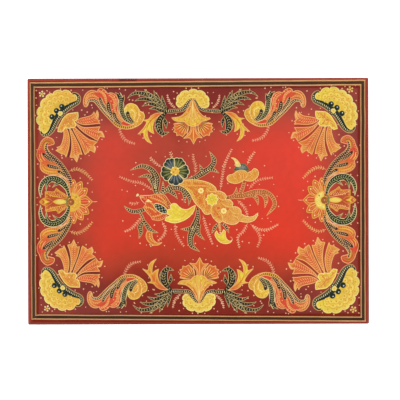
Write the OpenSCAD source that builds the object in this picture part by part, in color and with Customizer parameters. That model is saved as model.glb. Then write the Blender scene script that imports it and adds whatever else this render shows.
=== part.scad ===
// Painted steel tray: a low-rimmed rectangular pan folded from one sheet, rolled
// round a wire along its rim, soldered at its corners, lacquered and painted.
// Millimetres, +Z up, origin on the table under the middle of the floor.

/* [Tray] */
// Length over the rolled rim
tray_l = 460; // [380:5:560]
// Width over the rolled rim
tray_w = 332; // [280:2:420]
// Height from the table to the top of the rim
tray_h = 14; // [12:0.5:20]
// Slope of the wall above the horizontal, in degrees
wall_angle = 53; // [50:1:60]

/* [Sheet and wire] */
// Thickness of the steel sheet
sheet_t = 0.8; // [0.6:0.1:1]
// Diameter of the wire rolled into the rim
wire_d = 2; // [1.8:0.1:2.4]
// Where the curl's cut edge stops, in degrees round the wire
curl_end = 325; // [300:1:328]
// Radius of the solder run up each outside corner
solder_r = 1.3; // [1:0.1:1.6]

/* [Coats] */
// Thickness of the ground lacquer on the face
coat_t = 0.15; // [0.1:0.05:0.2]
// Thickness of the painted border
paint_t = 0.12; // [0.1:0.02:0.2]

/* [Painted border] */
// Plan distance from the rim's edge to the outer gold line
border_in = 3.7; // [3.6:0.1:4]
// Plan width of each gold line
gold_w = 1.6; // [1.2:0.1:1.8]
// Plan width of the dark band between the gold lines
band_w = 4.2; // [3:0.1:4.2]

/* [Hidden] */
$fn = 48;

wire_r = wire_d / 2;
curl_r = wire_r + sheet_t;
bead_r = curl_r + coat_t;
half_l = tray_l / 2;
half_w = tray_w / 2;
floor_z = sheet_t + coat_t;
strip_u = 24;       // the folded sides reach this far in, and the flat floor fills the rest
seam_gap = 0.35;    // between the solder and the rolled rim
margin = 9;         // more than the reach of any cut round the rim

// The tray's section is drawn as [inward, up], with the wire's centre at bead.
bead = [bead_r, tray_h - bead_r];
wall_normal = [sin(wall_angle), cos(wall_angle)];
wall_down = [cos(wall_angle), -sin(wall_angle)];

// The point at height z on the line that runs down the wall, offset from the wire's centre
function on_wall(offset, z) =
    let (top = bead + offset * wall_normal)
    top + (top[1] - z) / sin(wall_angle) * wall_down;

// Height of the lacquered wall at a plan distance from the rim's edge
function wall_height(u) = floor_z + (on_wall(bead_r, floor_z)[0] - u) * tan(wall_angle);

// ---- shaping -------------------------------------------------------------

// One side: a section run along the rim, mitred inside the wire's centre and square outside it
module side(half_length, half_across) {
    end = half_length - bead_r;
    inner_end = end + bead_r - strip_u;
    translate([0, -half_across, 0])
        intersection() {
            rotate([90, 0, 90])
                translate([0, 0, -half_length])
                    linear_extrude(2 * half_length) children();
            translate([0, 0, -margin])
                linear_extrude(tray_h + 2 * margin)
                    polygon([[-end, -margin], [end, -margin], [end, bead_r],
                             [inner_end, strip_u], [-inner_end, strip_u], [-end, bead_r]]);
        }
}

module four_sides() {
    for (turn = [0, 180]) {
        rotate(turn) side(half_l, half_w) children();
        rotate(turn + 90) side(half_w, half_l) children();
    }
}

// The outside quarter of a ball or shell at each corner of the rim, from a height up
module rim_corners(inner, outer, low) {
    for (sx = [-1, 1], sy = [-1, 1])
        translate([sx * (half_l - bead_r), sy * (half_w - bead_r), bead[1]])
            intersection() {
                difference() {
                    sphere(outer);
                    if (inner > 0) sphere(inner);
                }
                translate([sx > 0 ? 0 : -margin, sy > 0 ? 0 : -margin, low])
                    cube([margin, margin, margin - low]);
            }
}

// The section's ring round the wire, between two angles
module ring(inner, outer, from, to) {
    steps = ceil((to - from) / 45);
    translate(bead)
        intersection() {
            difference() {
                circle(outer);
                circle(inner);
            }
            polygon(concat([[0, 0]],
                [for (i = [0:steps]) let (a = from + (to - from) * i / steps)
                    4 * outer * [cos(a), sin(a)]]));
        }
}

// The section of a sheet that runs down the wall and on along the floor
module folded(under, over, low, high) {
    polygon([bead + over * wall_normal, bead + under * wall_normal, on_wall(under, low),
             [strip_u, low], [strip_u, high], on_wall(over, high)]);
}

module flat_floor(low, high) {
    translate([strip_u - half_l, strip_u - half_w, low])
        cube([tray_l - 2 * strip_u, tray_w - 2 * strip_u, high - low]);
}

// ---- steel ---------------------------------------------------------------

module tray_pan() {
    color("#2b2624") {
        four_sides() {
            ring(wire_r, curl_r, 90 - wall_angle, curl_end);
            folded(wire_r, curl_r, 0, sheet_t);
        }
        rim_corners(wire_r, curl_r, -margin);
        flat_floor(0, sheet_t);
    }
}

module rim_wire() {
    color("silver") {
        four_sides() translate(bead) circle(wire_r);
        rim_corners(0, wire_r, -margin);
    }
}

// Solder in the outside corner where two walls meet, from the table to under the rim
module corner_seam(sx, sy) {
    foot = on_wall(wire_r, 0);
    top = on_wall(wire_r, bead[1] - curl_r - seam_gap);
    run = sqrt(2) * (foot[0] - top[0]);
    lean = atan2(run, top[1]);
    color("darkgray")
        intersection() {
            difference() {
                translate([sx * (half_l - foot[0]), sy * (half_w - foot[0]), 0])
                    rotate([0, lean, atan2(sy, sx)])
                        translate([0, 0, -margin])
                            cylinder(h = tray_h + 2 * margin, r = solder_r);
                four_sides()
                    polygon([on_wall(wire_r, -margin), [strip_u, -margin],
                             [strip_u, tray_h], on_wall(wire_r, tray_h)]);
            }
            translate([-tray_l, -tray_w, 0]) cube([2 * tray_l, 2 * tray_w, top[1]]);
        }
}

// ---- lacquer and paint ---------------------------------------------------

module ground_coat() {
    color("#b5322a") {
        four_sides() {
            ring(curl_r, bead_r, 90 - wall_angle, 180);
            folded(curl_r, bead_r, sheet_t, floor_z);
        }
        rim_corners(curl_r, bead_r, 0);
        flat_floor(sheet_t, floor_z);
    }
}

// A line painted round the wall, between two plan distances from the rim's edge
module painted_line(near, far) {
    outer_face = bead_r + paint_t;
    four_sides()
        polygon([on_wall(bead_r, wall_height(near)), on_wall(bead_r, wall_height(far)),
                 on_wall(outer_face, wall_height(far)), on_wall(outer_face, wall_height(near))]);
}

module border_band() {
    color("#3c2a1c")
        painted_line(border_in + gold_w, border_in + gold_w + band_w);
}

module outer_gold_line() {
    color("#d6a070") painted_line(border_in, border_in + gold_w);
}

module inner_gold_line() {
    near = border_in + gold_w + band_w;
    color("#d6a070") painted_line(near, near + gold_w);
}

tray_pan();
rim_wire();
corner_seam(-1, -1);  // corner_seam_front_left
corner_seam(1, -1);  // corner_seam_front_right
corner_seam(-1, 1);  // corner_seam_back_left
corner_seam(1, 1);  // corner_seam_back_right
ground_coat();
border_band();
outer_gold_line();
inner_gold_line();
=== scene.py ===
"""Painted steel tray: the finish on the pan, the ruled border and the hand-painted flowers.

Sizes in the painting are in millimetres on the tray: x to the right, y to the back,
from the middle of the floor. Meshes are in metres.
"""

import math
import random

import bpy
import numpy as np
from bpy.props import FloatProperty, FloatVectorProperty, PointerProperty
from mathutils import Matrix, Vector, geometry, noise


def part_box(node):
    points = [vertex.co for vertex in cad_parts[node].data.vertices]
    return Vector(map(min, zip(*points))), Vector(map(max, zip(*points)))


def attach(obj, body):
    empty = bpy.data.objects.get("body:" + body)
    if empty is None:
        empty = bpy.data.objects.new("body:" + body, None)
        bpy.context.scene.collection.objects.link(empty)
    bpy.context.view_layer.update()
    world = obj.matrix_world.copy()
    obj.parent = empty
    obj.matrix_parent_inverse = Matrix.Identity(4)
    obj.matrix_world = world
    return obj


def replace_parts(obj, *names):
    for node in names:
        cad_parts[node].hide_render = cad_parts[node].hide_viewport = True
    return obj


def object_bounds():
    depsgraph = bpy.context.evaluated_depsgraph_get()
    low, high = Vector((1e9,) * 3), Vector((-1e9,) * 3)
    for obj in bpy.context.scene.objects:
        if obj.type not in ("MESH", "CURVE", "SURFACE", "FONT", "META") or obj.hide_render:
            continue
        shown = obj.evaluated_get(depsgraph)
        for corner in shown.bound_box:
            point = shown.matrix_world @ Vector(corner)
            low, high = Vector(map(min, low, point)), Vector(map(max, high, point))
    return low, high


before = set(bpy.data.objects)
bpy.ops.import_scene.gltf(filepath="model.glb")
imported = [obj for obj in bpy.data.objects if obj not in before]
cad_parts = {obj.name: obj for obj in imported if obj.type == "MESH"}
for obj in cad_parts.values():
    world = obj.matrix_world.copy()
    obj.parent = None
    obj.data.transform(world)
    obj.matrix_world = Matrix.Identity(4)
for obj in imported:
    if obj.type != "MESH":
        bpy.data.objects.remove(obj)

bl_info = {
    "name": "Painted Steel Tray",
    "version": (1, 0, 0),
    "blender": (4, 5, 0),
    "location": "3D View > Sidebar > Tray",
    "description": "Finishes a steel tray with red lacquer, a ruled border and painted flowers",
    "category": "Add Mesh",
}

MM = 0.001

# ---- the metal, measured from the frame ----------------------------------

CAD_BOX = [list(corner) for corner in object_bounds()]


def box_mm(node):
    """A node's lowest and highest corners, in millimetres."""
    return [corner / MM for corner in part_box(node)]


HALF_L, HALF_W, RIM_TOP = (size / MM for size in CAD_BOX[1])
WIRE_LOW, WIRE_HIGH = box_mm("rim_wire")
BEAD_Z = (WIRE_LOW.z + WIRE_HIGH.z) / 2
BEAD_R = RIM_TOP - BEAD_Z
CURL_R = (box_mm("tray_pan")[1].z - BEAD_Z)
OUTER_LINE = box_mm("outer_gold_line")[1]
INNER_LINE = box_mm("inner_gold_line")[1]
WALL_SLOPE = (OUTER_LINE.z - INNER_LINE.z) / (OUTER_LINE.x - INNER_LINE.x)
COAT = [v.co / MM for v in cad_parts["ground_coat"].data.vertices]
FLOOR_Z = sorted({round(v.z, 3) for v in COAT})[1]  # the coat's underside is lower
FOOT = HALF_L - max(abs(v.x) for v in COAT if abs(v.z - FLOOR_Z) < 0.001)
WALL_TOP = BEAD_R * (1 + math.sin(math.atan(WALL_SLOPE)))
FOLD = 1.0  # half the height over which the wall eases into the floor


def inward(x, y):
    """How far a place is in from the nearest edge of the tray."""
    return min(HALF_L - abs(x), HALF_W - abs(y))


def section_height(u):
    """Height of the lacquered face at a distance u in from the edge."""
    if u < WALL_TOP:
        return BEAD_Z + math.sqrt(max(BEAD_R ** 2 - (u - BEAD_R) ** 2, 0))
    rise = (FOOT - u) * WALL_SLOPE
    if abs(rise) < FOLD:
        rise = (rise + FOLD) ** 2 / (4 * FOLD)
    return FLOOR_Z + max(rise, 0)


def face_height(x, y):
    return section_height(inward(x, y))


# ---- settings ------------------------------------------------------------

def srgb(red, green, blue):
    """A display colour in 0 to 255 as linear light."""
    return tuple(
        c / 12.92 if c <= 0.04045 else ((c + 0.055) / 1.055) ** 2.4
        for c in (red / 255, green / 255, blue / 255)
    )


def colour(name, description, red, green, blue):
    return FloatVectorProperty(
        name=name, description=description, subtype="COLOR", size=3, min=0, max=1,
        default=srgb(red, green, blue),
    )


def length(name, description, default, low=0.0, high=50.0):
    return FloatProperty(name=name, description=description, default=default, min=low, max=high)


class TrayGroundColours(bpy.types.PropertyGroup):
    """Colours of the lacquer under the painting."""

    bright: colour("Bright red", "Lacquer round the bouquet", 218, 64, 48)
    dull: colour("Smoky red", "Lacquer in the smoky patches", 174, 66, 50)
    edge: colour("Maroon", "Lacquer beside the border", 124, 42, 36)
    rim: colour("Rim red", "Lacquer outside the gold lines", 158, 56, 38)
    back: colour("Back", "Lacquer on the underside", 30, 26, 25)
    band: colour("Band", "Dark band between the gold lines", 70, 50, 38)
    gold_line: colour("Gold line", "Ruled lines of the border", 226, 176, 122)


class TrayPaintColours(bpy.types.PropertyGroup):
    """Colours of the oil paints in the flowers."""

    lemon: colour("Lemon", "Light yellow petals", 225, 201, 64)
    golden: colour("Golden", "Deep yellow petals", 222, 176, 60)
    amber: colour("Amber", "Golden orange petals", 212, 142, 52)
    orange: colour("Orange", "Orange petals", 210, 102, 46)
    vermilion: colour("Vermilion", "Red-orange petals", 206, 70, 44)
    peach: colour("Peach", "Outlines of warm petals", 232, 172, 106)
    gilt: colour("Gilt", "Outlines of dark leaves", 204, 154, 100)
    cream: colour("Cream", "Hatching and highlights", 224, 206, 148)
    salmon: colour("Salmon", "Sprigs and small dots", 236, 174, 134)
    leaf: colour("Leaf", "Body of the dark leaves", 34, 30, 20)
    olive: colour("Olive", "Light side of the dark leaves", 122, 122, 66)
    slate: colour("Slate", "Grey petals", 104, 112, 112)
    maroon: colour("Maroon", "Gaps between petals", 104, 34, 28)
    red: colour("Red", "Brightest red", 204, 58, 42)
    rust: colour("Rust", "Body of the orange branch", 150, 76, 38)
    stem: colour("Stem", "Body of the bouquet's dark leaves", 58, 34, 22)
    night: colour("Night", "Green black", 18, 32, 26)
    sage: colour("Sage", "Light green hatching", 168, 172, 112)
    rose: colour("Rose", "Pinker sprigs", 232, 158, 120)
    pale: colour("Pale yellow", "Light edges of yellow petals", 240, 218, 138)
    white: colour("White", "Highlights of berries", 240, 238, 226)


class TrayPaintSizes(bpy.types.PropertyGroup):
    """Sizes of the brushwork, in millimetres."""

    layer: length("Layer", "Height that each coat of paint adds", 0.04, 0.01, 0.1)
    body: length("Body", "How far a stroke stands up in its middle", 0.05, 0.01, 0.2)
    outline: length("Outline", "Width of an outline", 0.9, 0.2, 3)
    hatch: length("Hatch", "Width of a hatching stroke", 0.9, 0.2, 3)
    hatch_gap: length("Hatch gap", "Distance between hatching strokes", 3.3, 1, 8)
    dot: length("Dot", "Radius of a small dot", 0.85, 0.3, 3)


def ground_colours():
    return bpy.context.scene.tray_ground


def paints():
    return bpy.context.scene.tray_paints


def sizes():
    return bpy.context.scene.tray_sizes


# ---- materials -----------------------------------------------------------

class Value:
    """A shader value; each operator adds the Math node that works it out."""

    def __init__(self, recipe, socket):
        self.recipe = recipe
        self.socket = socket

    def maths(self, operation, *operands):
        inputs = dict(enumerate(operands))
        return self.recipe.node("ShaderNodeMath", {"operation": operation}, inputs)

    def __add__(self, other):
        return self.maths("ADD", self, other)

    __radd__ = __add__

    def __mul__(self, other):
        return self.maths("MULTIPLY", self, other)

    __rmul__ = __mul__


class Recipe:
    """One finish being mixed: its material, and the nodes that feed its shader."""

    def __init__(self, name, **constants):
        self.material = bpy.data.materials.new(name)
        self.material.use_nodes = True
        self.tree = self.material.node_tree
        self.shader = self.tree.nodes["Principled BSDF"]
        for socket, value in constants.items():
            self.shader.inputs[socket.replace("_", " ")].default_value = value

    def node(self, kind, settings=None, inputs=None, output=0):
        """A node of that kind with its settings made, its sockets filled and one output returned."""
        node = self.tree.nodes.new(kind)
        for name, value in (settings or {}).items():
            setattr(node, name, value)
        for name, value in (inputs or {}).items():
            self.fill(node.inputs[name], value)
        return Value(self, node.outputs[output])

    def fill(self, socket, value):
        if isinstance(value, Value):
            self.tree.links.new(value.socket, socket)
        else:
            socket.default_value = value

    def feed(self, **sockets):
        for name, value in sockets.items():
            self.fill(self.shader.inputs[name.replace("_", " ")], value)
        return self.material

    def mix(self, share, first, second, blend="MIX"):
        settings = {"data_type": "RGBA", "blend_type": blend}
        return self.node("ShaderNodeMix", settings, {0: share, 6: first, 7: second}, output=2)

    def places(self):
        return self.node("ShaderNodeTexCoord", output="Object")

    def grain(self, scale, detail, stretch=(1, 1, 1)):
        """Noise from 0 to 1 over the object, its features about 1 / scale metres across."""
        at = self.node("ShaderNodeVectorMath", {"operation": "MULTIPLY"}, {0: self.places(), 1: stretch})
        inputs = {"Vector": at, "Scale": scale, "Detail": detail, "Roughness": 0.5}
        return self.node("ShaderNodeTexNoise", inputs=inputs)

    def relief(self, height, depth):
        """Bump from a height of 0 to 1 that stands for depth metres."""
        return self.node("ShaderNodeBump", inputs={"Height": height, "Distance": depth})


def tint_shade(recipe, share, grain):
    """The painted-on colour, made lighter and darker by grain."""
    tint = recipe.node("ShaderNodeAttribute", {"attribute_name": "tint"}, output="Color")
    level = 1 - share / 2 + share * grain
    grey = recipe.node("ShaderNodeCombineColor", inputs={0: level, 1: level, 2: level})
    return recipe.mix(1.0, tint, grey, "MULTIPLY")


def lacquer_finish():
    recipe = Recipe("red_lacquer", Specular_IOR_Level=0.17, Coat_Roughness=0.06, Coat_Weight=0.07)
    cloud = recipe.grain(60, 4)
    fleck = recipe.grain(900, 2)
    ripple = recipe.grain(35, 2)
    return recipe.feed(
        Base_Color=tint_shade(recipe, 0.1, 0.7 * cloud + 0.3 * fleck),
        Roughness=0.17 + 0.08 * cloud,
        Normal=recipe.relief(ripple + 0.1 * fleck, 0.00006),
    )


def oil_paint(name, share=0.16, roughness=0.26):
    recipe = Recipe(name, Specular_IOR_Level=0.15, Coat_Roughness=0.1, Coat_Weight=0.06)
    bristle = recipe.grain(1500, 2)
    patch = recipe.grain(260, 3)
    return recipe.feed(
        Base_Color=tint_shade(recipe, share, 0.5 * bristle + 0.5 * patch),
        Roughness=roughness + 0.14 * patch,
        Normal=recipe.relief(bristle + 0.6 * patch, 0.00005),
    )


def back_finish():
    recipe = Recipe("back_lacquer", Coat_Weight=0.3, Coat_Roughness=0.1)
    cloud = recipe.grain(45, 4)
    scuff = recipe.grain(420, 3, (1, 0.12, 1))
    back = tuple(ground_colours().back) + (1,)
    worn = tuple(c * 1.9 for c in back[:3]) + (1,)
    return recipe.feed(
        Base_Color=recipe.mix(cloud * scuff, back, worn),
        Roughness=0.26 + 0.25 * scuff,
        Normal=recipe.relief(cloud + 0.2 * scuff, 0.00008),
    )


def solder_finish():
    recipe = Recipe("lacquered_solder", Coat_Weight=0.25, Coat_Roughness=0.15)
    lump = recipe.grain(380, 3)
    base = tuple(ground_colours().back) + (1,)
    bare = srgb(112, 104, 98) + (1,)
    return recipe.feed(
        Base_Color=recipe.mix(0.35 * lump, base, bare),
        Roughness=0.32 + 0.2 * lump,
        Normal=recipe.relief(lump, 0.0002),
    )


def wire_finish():
    recipe = Recipe("drawn_wire", Metallic=1.0)
    draw = recipe.grain(700, 3, (0.2, 0.2, 1))
    return recipe.feed(
        Base_Color=recipe.mix(draw, srgb(120, 118, 116) + (1,), srgb(176, 174, 172) + (1,)),
        Roughness=0.3 + 0.25 * draw,
        Normal=recipe.relief(draw, 0.00003),
    )


PIGMENTS = {
    "ground": lacquer_finish,
    "band": lambda: oil_paint("band_black", share=0.2),
    "ruling": lambda: oil_paint("gold_ruling", share=0.2, roughness=0.3),
    "yellow": lambda: oil_paint("yellow_oil"),
    "orange": lambda: oil_paint("orange_oil"),
    "dark": lambda: oil_paint("dark_oil", share=0.3),
    "lines": lambda: oil_paint("line_oil", share=0.1),
}


def pigment_material(pigment):
    """The pigment's material, mixed the first time that it is asked for."""
    if pigment not in pigment_material.mixed:
        pigment_material.mixed[pigment] = PIGMENTS[pigment]()
    return pigment_material.mixed[pigment]


pigment_material.mixed = {}

# ---- curves --------------------------------------------------------------

TIP = "tip"  # third entry of a path's point: the curve turns a corner there


def smooth(path, closed=False, step=1.4):
    """Points along the curve that runs through a path, with corners only at its sharp points."""
    spots = [np.array(point[:2], float) for point in path]
    sharp = [len(point) > 2 for point in path]
    count = len(spots)
    curve = []
    for i in range(count if closed else count - 1):
        a, b = spots[i], spots[(i + 1) % count]
        before = spots[i - 1] if (closed or i > 0) and not sharp[i] else a
        after_index = (i + 2) % count if closed else min(i + 2, count - 1)
        after = b if sharp[(i + 1) % count] else spots[after_index]
        pieces = max(1, round(float(np.linalg.norm(b - a)) / step))
        for k in range(pieces):
            t = k / pieces
            curve.append(0.5 * (
                2 * a + (b - before) * t + (2 * before - 5 * a + 4 * b - after) * t ** 2
                + (3 * a - before - 3 * b + after) * t ** 3
            ))
    if not closed:
        curve.append(spots[-1])
    return np.array(curve)


def polar(x, y, radius, angle):
    """A point at a radius and an angle in degrees from a middle."""
    turn = math.radians(angle)
    return x + radius * math.cos(turn), y + radius * math.sin(turn)


def arc(centre, radius, start, end, count):
    """Points round an arc, from one angle to another in degrees."""
    angles = [math.radians(start + (end - start) * k / count) for k in range(count + 1)]
    return [(centre[0] + radius * math.cos(a), centre[1] + radius * math.sin(a)) for a in angles]


def scallops(valleys, bulge):
    """Round lobes between the points where they meet; they swell to the right of the way they run."""
    count = 5
    path = []
    for (ax, ay), (bx, by) in zip(valleys, valleys[1:]):
        path.append((ax, ay, TIP))
        for k in range(1, count):
            turn = math.pi * k / count
            along = (1 - math.cos(turn)) / 2
            out = bulge * math.sin(turn)
            path.append((ax + (bx - ax) * along + (by - ay) * out, ay + (by - ay) * along - (bx - ax) * out))
    path.append((*valleys[-1], TIP))
    return path


def sideways(curve, closed=False):
    """The unit direction to the left of a curve, at each of its points."""
    if closed:
        along = np.roll(curve, -1, 0) - np.roll(curve, 1, 0)
    else:
        along = np.gradient(curve, axis=0)
    along /= np.maximum(np.linalg.norm(along, axis=1, keepdims=True), 1e-9)
    return np.column_stack([-along[:, 1], along[:, 0]])


def run_lengths(curve):
    """Distance along a curve from 0 at its start to 1 at its end, and its whole length."""
    steps = np.linalg.norm(np.diff(curve, axis=0), axis=1)
    travelled = np.concatenate([[0], np.cumsum(steps)])
    return travelled / travelled[-1], travelled[-1]


def anticlockwise(path):
    """The same closed path, run anticlockwise."""
    doubled = sum(a[0] * b[1] - b[0] * a[1] for a, b in zip(path, list(path[1:]) + [path[0]]))
    return list(path) if doubled > 0 else list(path)[::-1]


def spread(widths, curve):
    """Widths given at even distances along a curve, at every point of it."""
    share, _ = run_lengths(curve)
    return np.interp(share, np.linspace(0, 1, len(widths)), widths)


def rungs(curve, widths, gap, start, end):
    """Evenly spaced places along a curve: x, y, the direction to its left, and its half width there."""
    share, whole = run_lengths(curve)
    rows = (*curve.T, *sideways(curve).T, widths)
    for along in np.arange(start + gap / whole / 2, end, gap / whole):
        x, y, nx, ny, width = (float(np.interp(along, share, row)) for row in rows)
        yield x, y, nx, ny, width / 2


def flip_x(side, path):
    """A path as it is for a side of 1, and mirrored left to right for -1."""
    return [(side * x, y, *rest) for x, y, *rest in path]


def flip_y(way, path, middle=0):
    """A path given from a middle line, on its back side for a way of 1 and on its front side for -1."""
    return [(x, middle + way * y, *rest) for x, y, *rest in path]


def blend(first, second, share):
    return tuple(a + (b - a) * share for a, b in zip(first, second))


# ---- painting ------------------------------------------------------------

THIN = ((-1, 0), (0, 1), (1, 0))
ROUND = ((-1, 0), (-0.55, 0.8), (0, 1), (0.55, 0.8), (1, 0))
LEAST = 0.12  # least half width of a stroke
LEAST_HATCHED = 0.7  # half width of a leaf where its hatching stops
FILL_GRID = 2.4  # distance between the points inside a filled shape
MOTTLE = 0.22  # how much a filled shape varies in brightness
STEP_UP, STEPS_UP = 0.0006, 50  # each stroke lies a little over the one before it
DRIFT = (-0.7, 0.6)  # how far the whole painting sits off the tray's middle


class Coat:
    """The strokes of one pigment, gathered into one mesh."""

    def __init__(self):
        self.points = []
        self.faces = []
        self.tints = []

    def add(self, points, faces, tints):
        first = len(self.points)
        self.points.extend(points)
        self.faces.extend([first + corner for corner in face] for face in faces)
        self.tints.extend(tints)

    def build(self, name, pigment, slot):
        mesh = bpy.data.meshes.new(name)
        mesh.from_pydata([tuple(c * MM for c in point) for point in self.points], [], self.faces)
        mesh.polygons.foreach_set("use_smooth", [True] * len(mesh.polygons))
        attribute = mesh.color_attributes.new("tint", "FLOAT_COLOR", "POINT")
        attribute.data.foreach_set("color", [c for tint in self.tints for c in (*tint[:3], 1.0)])
        mesh.materials.append(pigment_material(pigment))
        mesh.update()
        piece = bpy.data.objects.new(name, mesh)
        bpy.context.scene.collection.objects.link(piece)
        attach(piece, "root")
        return piece


class Motif:
    """One motif being painted: its points are in its own millimetres, which place() moves onto the tray."""

    def __init__(self, name, at=(0, 0), mirror=(1, 1), turn=0.0, size=1.0, level=0):
        self.name = name
        self.at = at
        self.mirror = mirror
        self.turn = math.radians(turn)
        self.size = size
        self.level = level
        self.coats = {}
        self.strokes = 0
        self.hand = random.Random(name)
        self.paint = paints()
        self.sizes = sizes()

    @property
    def on_right(self):
        return self.mirror[0] < 0

    @property
    def front_left(self):
        return self.mirror[1] < 0 < self.mirror[0]

    def place(self, x, y):
        x, y = x * self.size * self.mirror[0], y * self.size * self.mirror[1]
        c, s = math.cos(self.turn), math.sin(self.turn)
        return self.at[0] + DRIFT[0] + c * x - s * y, self.at[1] + DRIFT[1] + s * x + c * y

    def lay(self, pigment, flat, faces, tints, level):
        """Puts faces on the tray; flat is (x, y, rise) where a rise of 1 is a stroke's full body."""
        self.strokes += 1
        base = 0.02 + self.sizes.layer * (level + self.level) + STEP_UP * (self.strokes % STEPS_UP)
        points = []
        for x, y, rise in flat:
            px, py = self.place(x, y)
            points.append((px, py, face_height(px, py) + base + self.sizes.body * rise))
        if self.mirror[0] * self.mirror[1] < 0:
            faces = [face[::-1] for face in faces]
        self.coats.setdefault(pigment, Coat()).add(points, faces, tints)

    def ribbon(self, pigment, curve, widths, tint, level, across=ROUND, closed=False, end_tint=None):
        """A stroke along a curve. tint is one colour, or a list of them from start to end."""
        side = sideways(curve, closed)
        half = np.maximum(np.asarray(widths) / 2, LEAST)
        rows = len(curve)
        shade = 1 + 0.09 * (self.hand.random() - 0.5)
        share = np.linspace(0, 1, rows)
        flat, tints = [], []
        for i in range(rows):
            here = tint if end_tint is None else blend(tint, end_tint, share[i])
            for offset, rise in across:
                x, y = curve[i] + side[i] * half[i] * -offset
                flat.append((x, y, rise))
                tints.append(tuple(c * shade for c in here))
        wide = len(across)
        faces = []
        for i in range(rows if closed else rows - 1):
            j = (i + 1) % rows
            for k in range(wide - 1):
                faces.append([i * wide + k, i * wide + k + 1, j * wide + k + 1, j * wide + k])
        self.lay(pigment, flat, faces, tints, level)

    def line(self, path, width, tint, level, taper=(0.5, 1, 1, 0.5), pigment="lines"):
        """A thin drawn line through a path."""
        curve = smooth(path)
        self.ribbon(pigment, curve, width * spread(taper, curve), tint, level, THIN)

    def tick(self, start, end, width, tint, level, pigment="lines", bow=0.0):
        """A single short stroke, thickest in its middle."""
        start, end = np.array(start, float), np.array(end, float)
        left = np.array([start[1] - end[1], end[0] - start[0]])
        middle = (start + end) / 2 + left * bow
        curve = np.array([start, middle, end])
        self.ribbon(pigment, curve, [width * 0.6, width, width * 0.4], tint, level, THIN)

    def fill(self, pigment, path, edge, heart, level, reach=4.0, sweep=None, rim=None, rim_width=None):
        """A filled shape: edge colour at its outline, heart colour further in than reach.
        sweep is (start, end, colour): the whole shape turns to that colour from start to end."""
        outline = smooth(anticlockwise(path), closed=True)
        inside = interior(outline, FILL_GRID)
        spots = [Vector(point) for point in outline] + [Vector(point) for point in inside]
        loop = list(range(len(outline)))
        found = geometry.delaunay_2d_cdt(spots, [], [loop], 1, 1e-4)
        places, faces = found[0], found[2]
        depths = edge_distance(np.array([tuple(p) for p in places]), outline)
        flat, tints = [], []
        for place, depth in zip(places, depths):
            share = min(depth / reach, 1.0)
            tint = blend(edge, heart, share)
            if sweep:
                start, end, far = np.array(sweep[0]), np.array(sweep[1]), sweep[2]
                way = float(np.dot(np.array(place) - start, end - start) / np.dot(end - start, end - start))
                tint = blend(tint, far, min(max(way, 0), 1))
            cloud = noise.noise(Vector((place.x * 0.3, place.y * 0.3, 7.0 + self.at[0])))
            tints.append(tuple(c * (1 + MOTTLE * cloud) for c in tint))
            flat.append((place.x, place.y, min(depth / 1.2, 1.0)))
        facing = []
        for face in faces:
            a, b, c = (places[k] for k in face[:3])
            turn = (b.x - a.x) * (c.y - a.y) - (b.y - a.y) * (c.x - a.x)
            facing.append(list(face) if turn > 0 else list(face)[::-1])
        self.lay(pigment, flat, facing, tints, level)
        if rim:
            width = rim_width or self.sizes.outline
            self.ribbon("lines", outline, np.full(len(outline), width), rim, level + 1, THIN, closed=True)

    def dot(self, x, y, radius=None, tint=None, level=3, pigment="lines", rise=1.6, sides=9):
        """A round drop of paint."""
        radius = radius or self.sizes.dot * (0.8 + 0.4 * self.hand.random())
        tint = tint or self.paint.salmon
        rings = ((1.0, 0.0), (0.75, 0.65), (0.35, 0.95))
        flat, faces = [], []
        for share, up in rings:
            for k in range(sides):
                turn = 2 * math.pi * k / sides
                flat.append((x + radius * share * math.cos(turn), y + radius * share * math.sin(turn),
                             up * rise))
        for ring in range(len(rings) - 1):
            for k in range(sides):
                a, b = ring * sides + k, ring * sides + (k + 1) % sides
                faces.append([a, b, b + sides, a + sides])
        top = len(flat)
        flat.append((x, y, rise))
        last = (len(rings) - 1) * sides
        faces += [[last + k, last + (k + 1) % sides, top] for k in range(sides)]
        self.lay(pigment, flat, faces, [tuple(tint)] * len(flat), level)

    def dots(self, places, **how):
        for x, y in places:
            self.dot(x, y, **how)

    def fishbone(self, curve, widths, gap, tint, reach, lean, level, width, start=0.03, end=0.94):
        """Short strokes from a leaf's midrib out to its sides, leaning towards its tip."""
        for x, y, nx, ny, half in rungs(curve, widths, gap, start, end):
            if half < LEAST_HATCHED:
                continue
            reached = half * reach * (0.9 + 0.2 * self.hand.random())
            for way in (-1, 1):
                tip = (x + way * nx * reached + ny * reached * lean,
                       y + way * ny * reached - nx * reached * lean)
                root = (x + way * nx * half * 0.1, y + way * ny * half * 0.1)
                self.tick(root, tip, width, tint, level)

    def ladder(self, curve, widths, gap, tint, reach, level, width, start=0.0, end=1.0, slant=0.0):
        """Short strokes straight across a stem."""
        for x, y, nx, ny, half in rungs(curve, widths, gap, start, end):
            r = half * reach
            dx, dy = ny * r * slant, -nx * r * slant
            self.tick((x - nx * r - dx, y - ny * r - dy), (x + nx * r + dx, y + ny * r + dy), width, tint,
                      level)

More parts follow.
